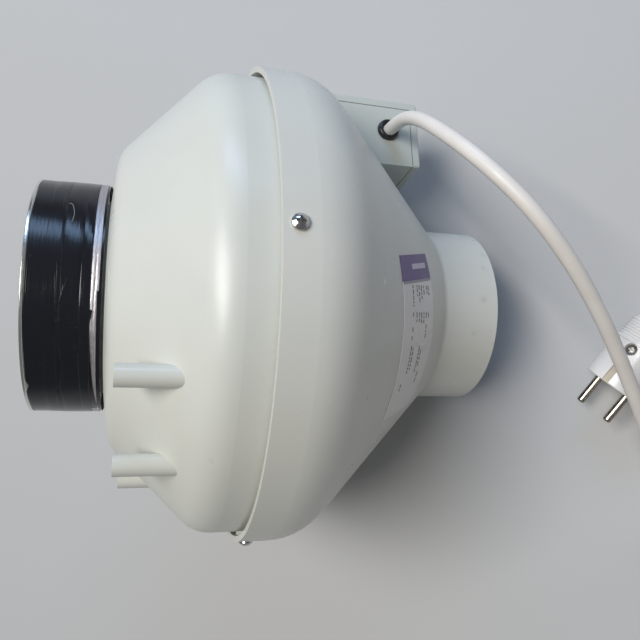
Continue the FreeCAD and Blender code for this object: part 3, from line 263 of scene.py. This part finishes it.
def tape_material():
    """Glossy black PVC tape: drawn lines round the collar, smears and fine scratches."""
    material = new_material("black_tape", (0.011, 0.012, 0.016), 0.2, Specular_IOR_Level=0.36)
    lines = noise_value(material, 1.0, 4, 0.6, vector=duct_vector(material, 1.1, 0.012))
    smear = noise_value(material, 40, 4, 0.6)
    set_roughness(material, mapped(material, smear, 0.35, 0.7, 0.11, 0.22))
    dust = mapped(material, noise_value(material, 260, 5, 0.7), 0.62, 0.8, 0, 0.3)
    set_colour(material, mixed_colour(material, dust, (0.010, 0.011, 0.015), (0.07, 0.072, 0.08)))
    scratches = noise_value(material, 1.0, 4, 0.7, vector=duct_vector(material, 0.5, 1.6))
    set_bump(material, [(lines, 0.24), (smear, 0.08), (scratches, 0.05)], 0.0005)
    return material


def foil_material():
    """Bright aluminium tape, drawn into streaks that run round the collar; its pink tint is a painted
    reflection of a red surround.
    """
    # The pink tint in these colours is a painted reflection of a red surround, not the foil's own colour.
    material = new_material("foil_tape", (0.60, 0.57, 0.59), 0.3, 1.0)
    streaks = noise_value(material, 1.0, 3, 0.6, vector=duct_vector(material, 1.3, 0.06))
    crumple = noise_value(material, 420, 4, 0.7, distortion=0.6)
    set_colour(material, mixed_colour(material, streaks, (0.46, 0.43, 0.45), (0.72, 0.69, 0.71)))
    set_roughness(material, mapped(material, crumple, 0.3, 0.7, 0.34, 0.52))
    set_bump(material, [(streaks, 0.7), (crumple, 0.25)], 0.0007)
    return material


def polished_rim():
    """The bare metal ring: bright, with drawn lines round it and a few dull places."""
    material = new_material("polished_rim", (0.80, 0.79, 0.76), 0.14, 1.0)
    lines = noise_value(material, 1.0, 4, 0.6, vector=duct_vector(material, 6.0, 0.02))
    dull = noise_value(material, 60, 4, 0.6)
    set_roughness(material, mapped(material, dull, 0.35, 0.7, 0.10, 0.28))
    set_bump(material, [(lines, 0.15)], 0.0003)
    return material


def print_material(name, colour):
    """Flat printing ink, slightly worn."""
    material = new_material(name, colour, 0.5)
    worn = mapped(material, noise_value(material, 900, 3, 0.6), 0.5, 0.7, 0, 0.35)
    set_colour(material, mixed_colour(material, worn, colour, (0.55, 0.52, 0.50)))
    return material


def strap_material():
    """Dark woven strap."""
    material = new_material("strap", (0.02, 0.02, 0.024), 0.85, Sheen_Weight=0.3)
    weave = add_node(material, "ShaderNodeTexWave", wave_type="BANDS", bands_direction="DIAGONAL")
    weave.inputs["Scale"].default_value = 420
    weave.inputs["Distortion"].default_value = 2.0
    link(material, place(material), weave.inputs["Vector"])
    set_bump(material, [(weave.outputs["Fac"], 0.5)])
    dark, light = (0.016, 0.016, 0.02), (0.04, 0.04, 0.046)
    set_colour(material, mixed_colour(material, weave.outputs["Fac"], dark, light))
    return material


def floor_material():
    """Pale matt paper sweep."""
    material = new_material("floor_paper", (0.50, 0.50, 0.50), 0.8)
    set_bump(material, [(noise_value(material, 220, 3), 0.05)])
    cloud = noise_value(material, 3, 3)
    set_colour(material, mixed_colour(material, cloud, (0.485, 0.485, 0.49), (0.515, 0.515, 0.51)))
    return material


CASING = moulded_plastic("casing_plastic", (0.665, 0.672, 0.615), (0.635, 0.640, 0.590), 0.32, 0.12)
OUTLET = moulded_plastic("outlet_plastic", (0.660, 0.660, 0.610), (0.630, 0.630, 0.585), 0.31, 0.02)
BOX = moulded_plastic("box_plastic", (0.57, 0.60, 0.55), (0.54, 0.565, 0.52), 0.42, 0.25)
NYLON = moulded_plastic("dark_nylon", (0.035, 0.037, 0.04), (0.05, 0.052, 0.055), 0.45, 0.5)
TERMINAL = moulded_plastic("terminal_polyamide", (0.66, 0.65, 0.60), (0.6, 0.59, 0.54), 0.35)
CAN = moulded_plastic("capacitor_plastic", (0.55, 0.55, 0.53), (0.5, 0.5, 0.48), 0.4)
PLUG = moulded_plastic("plug_plastic", (0.84, 0.81, 0.77), (0.80, 0.77, 0.73), 0.26, 0.2)
STEEL = metal("zinc_screw", (0.60, 0.59, 0.57), 0.22)
DULL_STEEL = metal("dull_steel", (0.46, 0.46, 0.46), 0.38)
SHEET_STEEL = metal("galvanised_sheet", (0.56, 0.57, 0.58), 0.36, 260, 0.12)
ALUMINIUM = metal("cast_aluminium", (0.58, 0.58, 0.59), 0.45, 600, 0.25)
LAMINATION = metal("laminated_steel", (0.22, 0.215, 0.21), 0.5, 1400, 0.3)
COPPER = metal("varnished_copper", (0.55, 0.24, 0.10), 0.3, 500, 0.5)
NICKEL = metal("nickel_pin", (0.46, 0.42, 0.36), 0.26)
EARTH_STRIP = metal("earth_strip", (0.40, 0.36, 0.30), 0.42, 300, 0.05)
PLUG_SCREW = metal("plug_screw_steel", (0.42, 0.41, 0.39), 0.36)
ROTOR = moulded_plastic("rotor_paint", (0.02, 0.02, 0.022), (0.03, 0.03, 0.032), 0.4)
RUBBER = rubber("black_rubber", (0.012, 0.012, 0.013), 0.3)
SEAL = rubber("seal_rubber", (0.02, 0.02, 0.02), 0.6)
CORD = pvc("cord_pvc", (0.80, 0.755, 0.71), (0.74, 0.70, 0.65))
LEAD = pvc("lead_pvc", (0.02, 0.02, 0.02), (0.04, 0.04, 0.04))
WIRE = pvc("wire_pvc", (0.52, 0.49, 0.43), (0.46, 0.43, 0.38))
TAPE = tape_material()
FOIL = foil_material()
STRAP = strap_material()
LABEL = moulded_plastic("label_paper", (0.80, 0.765, 0.745), (0.75, 0.715, 0.70), 0.30, 0.1)
ACCENT = moulded_plastic("accent_print", (0.115, 0.065, 0.22), (0.14, 0.085, 0.25), 0.30, 0.1)
RIM = polished_rim()
DARK_INK = print_material("dark_ink", (0.10, 0.085, 0.09))
PALE_INK = print_material("pale_ink", (0.62, 0.56, 0.66))
# Grey ink, used only for painted shade along the paper label's edge.
PAINTED_SHADE_INK = print_material("painted_shade_ink", (0.36, 0.35, 0.40))

NODE_MATERIALS = {
    "inlet_housing": CASING, "outlet_housing": OUTLET, "housing_seal": SEAL, "housing_screws": STEEL,
    "inlet_nozzle": NYLON, "nozzle_screws": DULL_STEEL, "impeller_shroud": SHEET_STEEL,
    "impeller_blades": SHEET_STEEL, "impeller_backplate": SHEET_STEEL, "impeller_rivets": DULL_STEEL,
    "rotor_shell": ROTOR, "rotor_cage": LAMINATION, "motor_shaft": DULL_STEEL, "retaining_ring": DULL_STEEL,
    "front_bearing": DULL_STEEL, "rear_bearing": DULL_STEEL, "motor_flange": ALUMINIUM,
    "stator_core": LAMINATION, "stator_windings": COPPER, "motor_support": SHEET_STEEL,
    "support_screws": DULL_STEEL, "motor_screws": DULL_STEEL, "motor_lead": LEAD,
    "terminal_box_base": BOX, "terminal_box_lid": BOX, "lid_screws": DULL_STEEL,
    "terminal_block": TERMINAL, "terminal_screws": DULL_STEEL, "capacitor": CAN,
    "capacitor_clip": DULL_STEEL, "cord_clamp": TERMINAL, "inner_lead": WIRE, "cable_grommet": RUBBER,
    "inlet_adapter_ring": RIM, "black_tape_wrap": TAPE, "foil_tape_band": FOIL,
    "rating_label": LABEL, "accent_label": ACCENT, "plug_body": PLUG, "plug_cover": PLUG,
    "plug_pins": NICKEL, "plug_earth_clips": EARTH_STRIP, "plug_screw": PLUG_SCREW, "cord_tie": STRAP,
}
SMOOTH_ANGLE = math.radians(24)
for node_name, node_material in NODE_MATERIALS.items():
    mesh = NODES[node_name].data
    mesh.materials.clear()
    mesh.materials.append(node_material)
    mesh.polygons.foreach_set("use_smooth", [True] * len(mesh.polygons))
    mesh.set_sharp_from_angle(angle=SMOOTH_ANGLE)

# Soiled places on the outlet spigot, and a pale fleck on its cone: (centre, radius in millimetres)
SPIGOT_R = 49.35
SPIGOT_MARKS = [
    (around(132.6, SPIGOT_R, 44.7), 2.4), (around(130.0, SPIGOT_R, 33.0), 2.6),
    (around(127.1, SPIGOT_R, 11.4), 3.2), (around(122.1, SPIGOT_R, -10.3), 2.2),
    (around(120.8, SPIGOT_R, -54.7), 1.7),
]
add_marks(OUTLET, SPIGOT_MARKS, (0.36, 0.38, 0.36), 0.42)
add_marks(OUTLET, [(around(48.0, 106.0, 6.9), 1.6)], (0.98, 0.96, 0.93), 1.0)
add_marks(CASING, [(around(-20.7, 118.9, -32.0), 2.0)], (0.45, 0.45, 0.42), 0.4)


# ---------------------------------------------------------------- mesh pieces

def new_piece(name, points, faces, material):
    """A mesh piece on the casing, with its material."""
    mesh = bpy.data.meshes.new(name)
    mesh.from_pydata([tuple(point) for point in points], [], faces)
    mesh.validate()
    builder = bmesh.new()
    builder.from_mesh(mesh)
    bmesh.ops.recalc_face_normals(builder, faces=builder.faces)
    builder.to_mesh(mesh)
    builder.free()
    mesh.materials.append(material)
    mesh.polygons.foreach_set("use_smooth", [True] * len(mesh.polygons))
    mesh.set_sharp_from_angle(angle=SMOOTH_ANGLE)
    piece = bpy.data.objects.new(name, mesh)
    bpy.context.scene.collection.objects.link(piece)
    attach(piece, "housing")
    return piece


def skin_of(loops, closed):
    """Points and faces of a tube through loops of points: joined end to end, or with flat ends."""
    size = len(loops[0])
    points = [point for loop in loops for point in loop]
    faces = []
    for index in range(len(loops) if closed else len(loops) - 1):
        here = index * size
        there = (index + 1) % len(loops) * size
        for step in range(size):
            following = (step + 1) % size
            faces.append((here + step, here + following, there + following, there + step))
    if not closed:
        faces.append(tuple(reversed(range(size))))
        faces.append(tuple(range(len(points) - size, len(points))))
    return points, faces


def bell(value, centre, width):
    """A smooth bump: one at its centre, near zero beyond two widths."""
    return math.exp(-((value - centre) / width) ** 2)


# ---------------------------------------------------------------- black tape

TAPE_START_X = -99.4
TAPE_START_ZONE = 0.5
TAPE_START_WAVER = 0.12
SECOND_WANDER = 0.4
TAPE_WAVE = 0.05
TAPE_WAVE_ALONG = 0.16
TAPE_WAVES_ROUND = 5
TAPE_R = 59.2
TAPE_UNDER = 58.46
TAPE_STEPS = 480
TAPE_NOTCH = (-45.0, 2.4, 1.1)
# The wrap's outline outside the collar: distance along the duct, radius, how far the edge wanders.  The
# layers end at two edges, two grooves run between turns, and a low band runs under the foil and past its
# right edge, making the gap before the casing black.
TAPE_OUTLINE = [
    (-99.4, 58.46, 0), (-99.4, 58.75, 0), (-99.1, 58.92, 0), (-96.5, 58.94, 0), (-94.0, 58.92, 0),
    (-91.55, 58.93, 0.3), (-91.35, 59.05, 0.3), (-89.0, 59.07, 0), (-86.35, 59.05, 0.5), (-86.15, 59.2, 0.5),
    (-84.95, 59.2, 0.3), (-84.6, 59.04, 0.3), (-84.25, 59.2, 0.3), (-81.5, 59.18, 0), (-79.0, 59.2, 0),
    (-76.75, 59.2, 0.2), (-76.4, 59.05, 0.2), (-76.05, 59.2, 0.2), (-74.4, 59.17, 0), (-73.9, 59.2, 0.2),
    (-72.5, 59.16, 0.15), (-72.2, 59.0, 0.15), (-72.2, 58.62, 0), (-67.6, 58.6, 0), (-67.5, 58.46, 0),
]


def tape_wrap():
    """The wound tape as one skin, with its layer edges, grooves, slight waves and a torn notch."""
    notch_angle, notch_width, notch_depth = TAPE_NOTCH
    loops = []
    for step in range(TAPE_STEPS):
        angle = 360 * step / TAPE_STEPS
        turn = math.radians(angle)
        round_place = (TAPE_WAVES_ROUND * math.cos(turn), TAPE_WAVES_ROUND * math.sin(turn))
        off_notch = (angle - notch_angle + 180) % 360 - 180
        loop = []
        for x, radius, wander in TAPE_OUTLINE:
            shift = wander * (math.sin(3 * turn + x) + SECOND_WANDER * math.sin(11 * turn + 2 * x))
            if x < TAPE_START_X + TAPE_START_ZONE:
                shift += notch_depth * bell(off_notch, 0, notch_width) + TAPE_START_WAVER * math.sin(9 * turn)
            wave = TAPE_WAVE * noise.noise(Vector((x * TAPE_WAVE_ALONG, *round_place)))
            height = radius + (wave if radius > TAPE_UNDER + 0.2 else 0)
            loop.append(around(x + shift, height, angle))
        loops.append(loop)
    points, faces = skin_of(loops, True)
    return new_piece("tape_wrap", points, faces, TAPE)


# Fine raised folds and a stuck hair on the tape, each a line through (distance along, angle) points
TAPE_FOLDS = [
    [(-87.7, 22.0), (-87.2, 10.0), (-86.7, 1.0), (-86.2, -7.0)],
    [(-86.4, 15.0), (-86.3, 6.0), (-86.0, -1.0), (-85.7, -8.5)],
    [(-82.0, 7.5), (-83.2, 4.0), (-84.4, 0.0), (-85.3, -7.5)],
    [(-83.4, 5.0), (-84.3, 1.0), (-84.9, -3.0), (-85.3, -8.5)],
    [(-88.6, -1.0), (-87.8, -7.0), (-87.1, -13.0)],
    [(-98.3, 14.0), (-98.4, 8.0), (-98.4, 1.0)],
]
TAPE_HAIR = [(-84.3, 46.5), (-83.6, 47.3), (-82.6, 46.0), (-81.6, 42.0), (-81.3, 38.5), (-82.0, 35.0)]
FOLD_R = 0.16
FOLD_LIFT = 0.02
HAIR_R = 0.07
HAIR_LIFT = 0.08


def surface_lines(name, lines, lift, thickness, material):
    """Thin round lines that lie on the tape, as one curve piece."""
    curve = bpy.data.curves.new(name, "CURVE")
    curve.dimensions = "3D"
    for line in lines:
        spline = curve.splines.new("NURBS")
        spline.points.add(len(line) - 1)
        for target, (x, angle) in zip(spline.points, line):
            target.co = (*around(x, TAPE_R + lift, angle), 1)
        spline.order_u = 3
        spline.use_endpoint_u = True
    curve.bevel_depth = thickness * MM
    curve.bevel_resolution = 2
    curve.resolution_u = 8
    curve.use_fill_caps = True
    curve.materials.append(material)
    piece = bpy.data.objects.new(name, curve)
    bpy.context.scene.collection.objects.link(piece)
    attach(piece, "housing")
    return piece


# A torn tongue of tape that stands over the foil: its outline as (distance along, angle), and its thickness
FLAP_OUTLINE = [
    (-73.4, -4.4), (-72.2, -4.9), (-70.9, -5.3), (-71.1, -6.3), (-71.6, -8.2), (-72.2, -10.4), (-73.4, -11.0),
]
FLAP_HEIGHTS = [59.22, 59.3, 59.5, 59.45, 59.38, 59.3, 59.22]
FLAP_THICKNESS = 0.16


def tape_flap():
    """The torn tongue of tape, a thin plate that curls up at its tip."""
    corners = [(x, height, angle) for (x, angle), height in zip(FLAP_OUTLINE, FLAP_HEIGHTS)]
    top = [around(x, height, angle) for x, height, angle in corners]
    low = [around(x, height - FLAP_THICKNESS, angle) for x, height, angle in corners]
    points, faces = skin_of([low, top], False)
    return new_piece("tape_flap", points, faces, TAPE)


tape = tape_wrap()
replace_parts(tape, "black_tape_wrap")
tape_flap()
surface_lines("tape_folds", TAPE_FOLDS, FOLD_LIFT, FOLD_R, TAPE)
surface_lines("tape_hair", [TAPE_HAIR], HAIR_LIFT, HAIR_R, TERMINAL)


# ---------------------------------------------------------------- foil tape

FOIL_UNDER = 58.66
FOIL_RIGHT = (-68.6, -69.3)
FOIL_LEFT = -72.1
FOIL_START = 292.0
FOIL_POINT = -60.0
FOIL_TORN = 3.0
FOIL_TAPER_FROM = -14.0
FOIL_STEPS = 700
FOIL_TIP_WIDTH = 0.25
FOIL_TAPER_POWER = 1.3
FOIL_RAGGED = (0.07, 0.05)
FOIL_TORN_DROP = 0.1
FOIL_CREASES = (0.05, 0.09)
# Across the strip, from its left edge to its right: share of the width, height over the collar
FOIL_PROFILE = [
    (0.0, 58.78), (0.05, 58.95), (0.2, 59.04), (0.36, 59.05), (0.47, 58.98), (0.53, 58.86), (0.58, 58.98),
    (0.72, 59.07), (0.86, 59.04), (0.96, 58.95), (1.0, 58.78),
]


def foil_edges(angle):
    """The strip's left and right edges at an angle: it steps in at a tear, then runs out to a point."""
    ragged = FOIL_RAGGED[0] * noise.noise(Vector((angle * 0.4, 3.1, 0)))
    right = FOIL_RIGHT[0] if angle > FOIL_TORN else FOIL_RIGHT[1]
    left = FOIL_LEFT
    if angle < FOIL_TAPER_FROM:
        share = (FOIL_TAPER_FROM - angle) / (FOIL_TAPER_FROM - FOIL_POINT)
        left += (right - FOIL_TIP_WIDTH - left) * share ** FOIL_TAPER_POWER
    return left + ragged, right + FOIL_RAGGED[1] * noise.noise(Vector((angle * 0.5, 7.7, 0)))


def foil_band():
    """The foil strip, wound once round the collar, with a fold along its middle and fine creases."""
    loops = []
    for step in range(FOIL_STEPS + 1):
        angle = FOIL_POINT + (FOIL_START - FOIL_POINT) * step / FOIL_STEPS
        turn = math.radians(angle)
        left, right = foil_edges(angle)
        low_part = 0.0 if angle > FOIL_TORN else -FOIL_TORN_DROP
        loop = []
        for share, height in FOIL_PROFILE:
            x = left + (right - left) * share
            crease = noise.noise(Vector((x * 1.5, 22 * math.cos(turn), 22 * math.sin(turn))))
            long_crease = noise.noise(Vector((x * 1.1, 3 * math.cos(turn), 3 * math.sin(turn))))
            rise = low_part + FOIL_CREASES[0] * crease + FOIL_CREASES[1] * long_crease
            loop.append(around(x, height + rise, angle))
        loop.append(around(right, FOIL_UNDER, angle))
        loop.append(around(left, FOIL_UNDER, angle))
        loops.append(loop)
    points, faces = skin_of(loops, False)
    return new_piece("foil_strip", points, faces, FOIL)


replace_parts(foil_band(), "foil_tape_band")


# ---------------------------------------------------------------- printing on the labels

CONE_APEX_X = 154.0
LABEL_ANGLE = -9.0
LABEL_TOP = 0.3
INK_LIFT = 0.05
INK_HALF = 0.5
# Rows of words on the paper label, as (distance along the cone, from, to), the last two sideways
PRINT_ROWS = [
    (115.8, 26.1, 15.0), (110.6, 25.7, 20.5), (107.9, 25.5, 17.5), (104.9, 25.2, 17.9), (101.7, 24.9, 20.1),
    (97.5, 24.6, 20.2), (95.2, 24.4, 19.2), (116.3, 13.5, 11.4), (111.9, 13.2, 7.9), (108.7, 12.9, 8.3),
    (105.8, 12.7, 6.8), (102.8, 12.3, 7.1), (99.7, 12.2, 8.1), (96.7, 11.6, 8.4), (116.3, 6.5, 3.9),
    (116.5, 2.5, 0.7), (99.4, 6.0, -2.2), (115.9, -2.2, -15.9), (113.4, -3.6, -14.5), (105.4, -3.8, -17.4),
    (102.8, -5.7, -14.8), (100.4, -17.4, -23.4), (119.5, -20.6, -25.3),
]
WORD_LENGTHS = (0.9, 3.0)
WORD_GAPS = (0.45, 0.8)
PRINT_SEED = 7
BAR_PITCH = 3.0
CUT_PITCH = 2.5
# Plain blocks, as low and high along the cone, then from and to sideways
# The grey band along the paper label's edge is painted shade where it meets the violet label.
LABEL_EDGE_PAINTED_SHADE = (90.0, 126.9, 27.7, 26.8)
ACCENT_BAR = (94.5, 113.5, 35.4, 33.0)


def on_label(along, across, lift):
    """A point over a label, from its distance along the cone and sideways."""
    half_angle = math.atan2(across, along * math.sqrt(2))
    radius = along * math.sqrt(2) / (1 + math.cos(2 * half_angle))
    rise = (LABEL_TOP + lift) / math.sqrt(2)
    angle = math.degrees(2 * half_angle) + LABEL_ANGLE
    return around(CONE_APEX_X - radius + rise, radius + rise, angle)


def ink_bar(points, faces, along, half_width, start, end):
    """Adds a thin raised bar that runs sideways on the label, bent with the cone."""
    cuts = max(1, round(abs(end - start) / CUT_PITCH))
    loops = []
    for cut in range(cuts + 1):
        across = start + (end - start) * cut / cuts
        loops.append([on_label(along + side * half_width, across, lift)
                      for side, lift in ((-1, 0), (1, 0), (1, INK_LIFT), (-1, INK_LIFT))])
    bar_points, bar_faces = skin_of(loops, False)
    first = len(points)
    points.extend(bar_points)
    faces.extend(tuple(index + first for index in face) for face in bar_faces)


def label_words():
    """Rows of plain dashes in place of the label's small print."""
    chance = random.Random(PRINT_SEED)
    points, faces = [], []
    for along, start, end in PRINT_ROWS:
        across = start
        while across > end + WORD_LENGTHS[0]:
            length = min(chance.uniform(*WORD_LENGTHS), across - end)
            ink_bar(points, faces, along, INK_HALF, across, across - length)
            across -= length + chance.uniform(*WORD_GAPS)
    new_piece("label_dashes", points, faces, DARK_INK)


def plain_block(name, material, extent):
    """One plain printed block, laid in narrow bars so that it bends with the cone."""
    low, high, start, end = extent
    count = max(1, round((high - low) / BAR_PITCH))
    half_width = (high - low) / count / 2
    points, faces = [], []
    for index in range(count):
        ink_bar(points, faces, low + half_width * (2 * index + 1), half_width, start, end)
    new_piece(name, points, faces, material)


label_words()
plain_block("label_edge_painted_shade", PAINTED_SHADE_INK, LABEL_EDGE_PAINTED_SHADE)
plain_block("accent_bar", PALE_INK, ACCENT_BAR)


# ---------------------------------------------------------------- mains cord

CORD_DIAMETER = 0.0075
COIL_CENTRE = (0.272, -0.105)
COIL_START = math.radians(205)
COIL_SWEEP = math.radians(3 * 360 + 155)
COIL_POINTS = 14
COIL_RADII = (0.0382, 0.0457)
COIL_HEIGHTS = (0.0051, 0.0125)
# The share of a lay, counted from its end, in which it moves over to the next
LAY_CHANGE = 1 / 6
EXIT_ROUTE = [
    (0.0574, 0.1057, 0.0671), (0.0676, 0.1084, 0.0816), (0.0816, 0.1034, 0.1046), (0.0988, 0.0894, 0.1290),
    (0.1210, 0.0702, 0.1456), (0.1433, 0.0490, 0.1470), (0.1615, 0.0268, 0.1338), (0.1765, 0.0036, 0.1140),
    (0.1895, -0.0210, 0.0920), (0.2020, -0.0470, 0.0700), (0.2130, -0.0720, 0.0460),
    (0.2205, -0.0935, 0.0265), (0.2265, -0.1115, 0.0135),
]
TAIL_ROUTE = [
    (0.3168, -0.0670, 0.0043), (0.3192, -0.0270, 0.0039), (0.3190, 0.0135, 0.0039), (0.3078, 0.0345, 0.0039),
    (0.2878, 0.0468, 0.0042), (0.2644, 0.0480, 0.0062), (0.2434, 0.0374, 0.0115), (0.2280, 0.0146, 0.0184),
]


def coil_turns():
    """The spare cord: inwards across the upper layer, then outwards across the lower one.

    Each of the four lays is under one turn, and moves over to the next near its end.
    """
    lays = [(COIL_RADII[1], COIL_HEIGHTS[1]), (COIL_RADII[0], COIL_HEIGHTS[1]),
            (COIL_RADII[0], COIL_HEIGHTS[0]), (COIL_RADII[1], COIL_HEIGHTS[0])]
    last = len(lays) - 1
    steps = int(COIL_POINTS * COIL_SWEEP / TWO_PI)
    points = []
    for step in range(steps + 1):
        place = len(lays) * step / steps
        index = min(int(place), last)
        blend = min(1.0, max(0.0, 1 - (1 - (place - index)) / LAY_CHANGE))
        following = lays[min(index + 1, last)]
        radius = lays[index][0] * (1 - blend) + following[0] * blend
        height = lays[index][1] * (1 - blend) + following[1] * blend
        angle = COIL_START + COIL_SWEEP * step / steps
        x = COIL_CENTRE[0] + radius * math.cos(angle)
        y = COIL_CENTRE[1] + radius * math.sin(angle)
        points.append((x, y, height))
    return points


def mains_cord():
    """One open NURBS line from the grommet through the coil to the plug."""
    points = EXIT_ROUTE + coil_turns() + TAIL_ROUTE
    curve = bpy.data.curves.new("mains_lead", "CURVE")
    curve.dimensions = "3D"
    spline = curve.splines.new("NURBS")
    spline.points.add(len(points) - 1)
    for target, point in zip(spline.points, points):
        target.co = (*point, 1)
    spline.order_u = 3
    spline.use_endpoint_u = True
    curve.bevel_depth = CORD_DIAMETER / 2
    curve.bevel_resolution = 6
    curve.resolution_u = 10
    curve.use_fill_caps = True
    cord = bpy.data.objects.new("mains_lead", curve)
    bpy.context.scene.collection.objects.link(cord)
    curve.materials.append(CORD)
    return cord


cord = mains_cord()
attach(cord, "housing")
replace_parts(cord, "mains_cord", "mains_cord_coil", "mains_cord_tail")


# ---------------------------------------------------------------- floor, light and camera

FLOOR_HALF = 3
FLOOR_DROP = 0.0002
# Each light's name, place, target, size, power and colour
LIGHTS = [
    ("window", (0.05, 1.50, 0.86), (-0.03, 0, 0.2), (1.1, 0.34), 9, (0.40, 0.63, 1)),
    ("panel", (-0.45, 0.40, 2.4), (0, 0, 0.1), (0.9, 1.4), 50, (1, 0.985, 0.95)),
]
SURROUND_COLOUR = (0.94, 0.96, 1.0, 1)
SURROUND_STRENGTH = 0.16
CAMERA_PLACE = duct(-49.1, 0, 358.03)
CAMERA_TURNS = (0, math.radians(19.284), math.radians(2.943))
CAMERA_SENSOR = 36
CAMERA_LENS = 36.05
CAMERA_NEAR = 0.01


def floor():
    """A pale floor far wider than the view."""
    mesh = bpy.data.meshes.new("floor")
    builder = bmesh.new()
    bmesh.ops.create_grid(builder, x_segments=2, y_segments=2, size=FLOOR_HALF)
    builder.to_mesh(mesh)
    builder.free()
    mesh.materials.append(floor_material())
    obj = bpy.data.objects.new("floor", mesh)
    obj.location.z = -FLOOR_DROP
    bpy.context.scene.collection.objects.link(obj)


def area_light(name, place_at, target, size, power, colour):
    """A soft rectangular light aimed at a point."""
    data = bpy.data.lights.new(name, "AREA")
    data.shape = "RECTANGLE"
    data.size, data.size_y = size
    data.energy = power
    data.color = colour
    obj = bpy.data.objects.new(name, data)
    obj.location = place_at
    obj.rotation_euler = (Vector(target) - Vector(place_at)).to_track_quat("-Z", "Y").to_euler()
    bpy.context.scene.collection.objects.link(obj)


def studio():
    """A tall window on the terminal box's side, a long soft panel overhead and a dim surround."""
    for light in LIGHTS:
        area_light(*light)
    world = bpy.data.worlds.new("studio")
    world.use_nodes = True
    background = world.node_tree.nodes["Background"]
    background.inputs["Color"].default_value = SURROUND_COLOUR
    background.inputs["Strength"].default_value = SURROUND_STRENGTH
    bpy.context.scene.world = world
    bpy.context.scene.view_settings.view_transform = "Standard"


def camera():
    """The camera, almost straight above the fan and turned a little towards it."""
    data = bpy.data.cameras.new("camera")
    data.sensor_width = CAMERA_SENSOR
    data.lens = CAMERA_LENS
    data.clip_start = CAMERA_NEAR
    obj = bpy.data.objects.new("camera", data)
    obj.location = CAMERA_PLACE
    obj.rotation_euler = CAMERA_TURNS
    bpy.context.scene.collection.objects.link(obj)
    bpy.context.scene.camera = obj


floor()
studio()
camera()
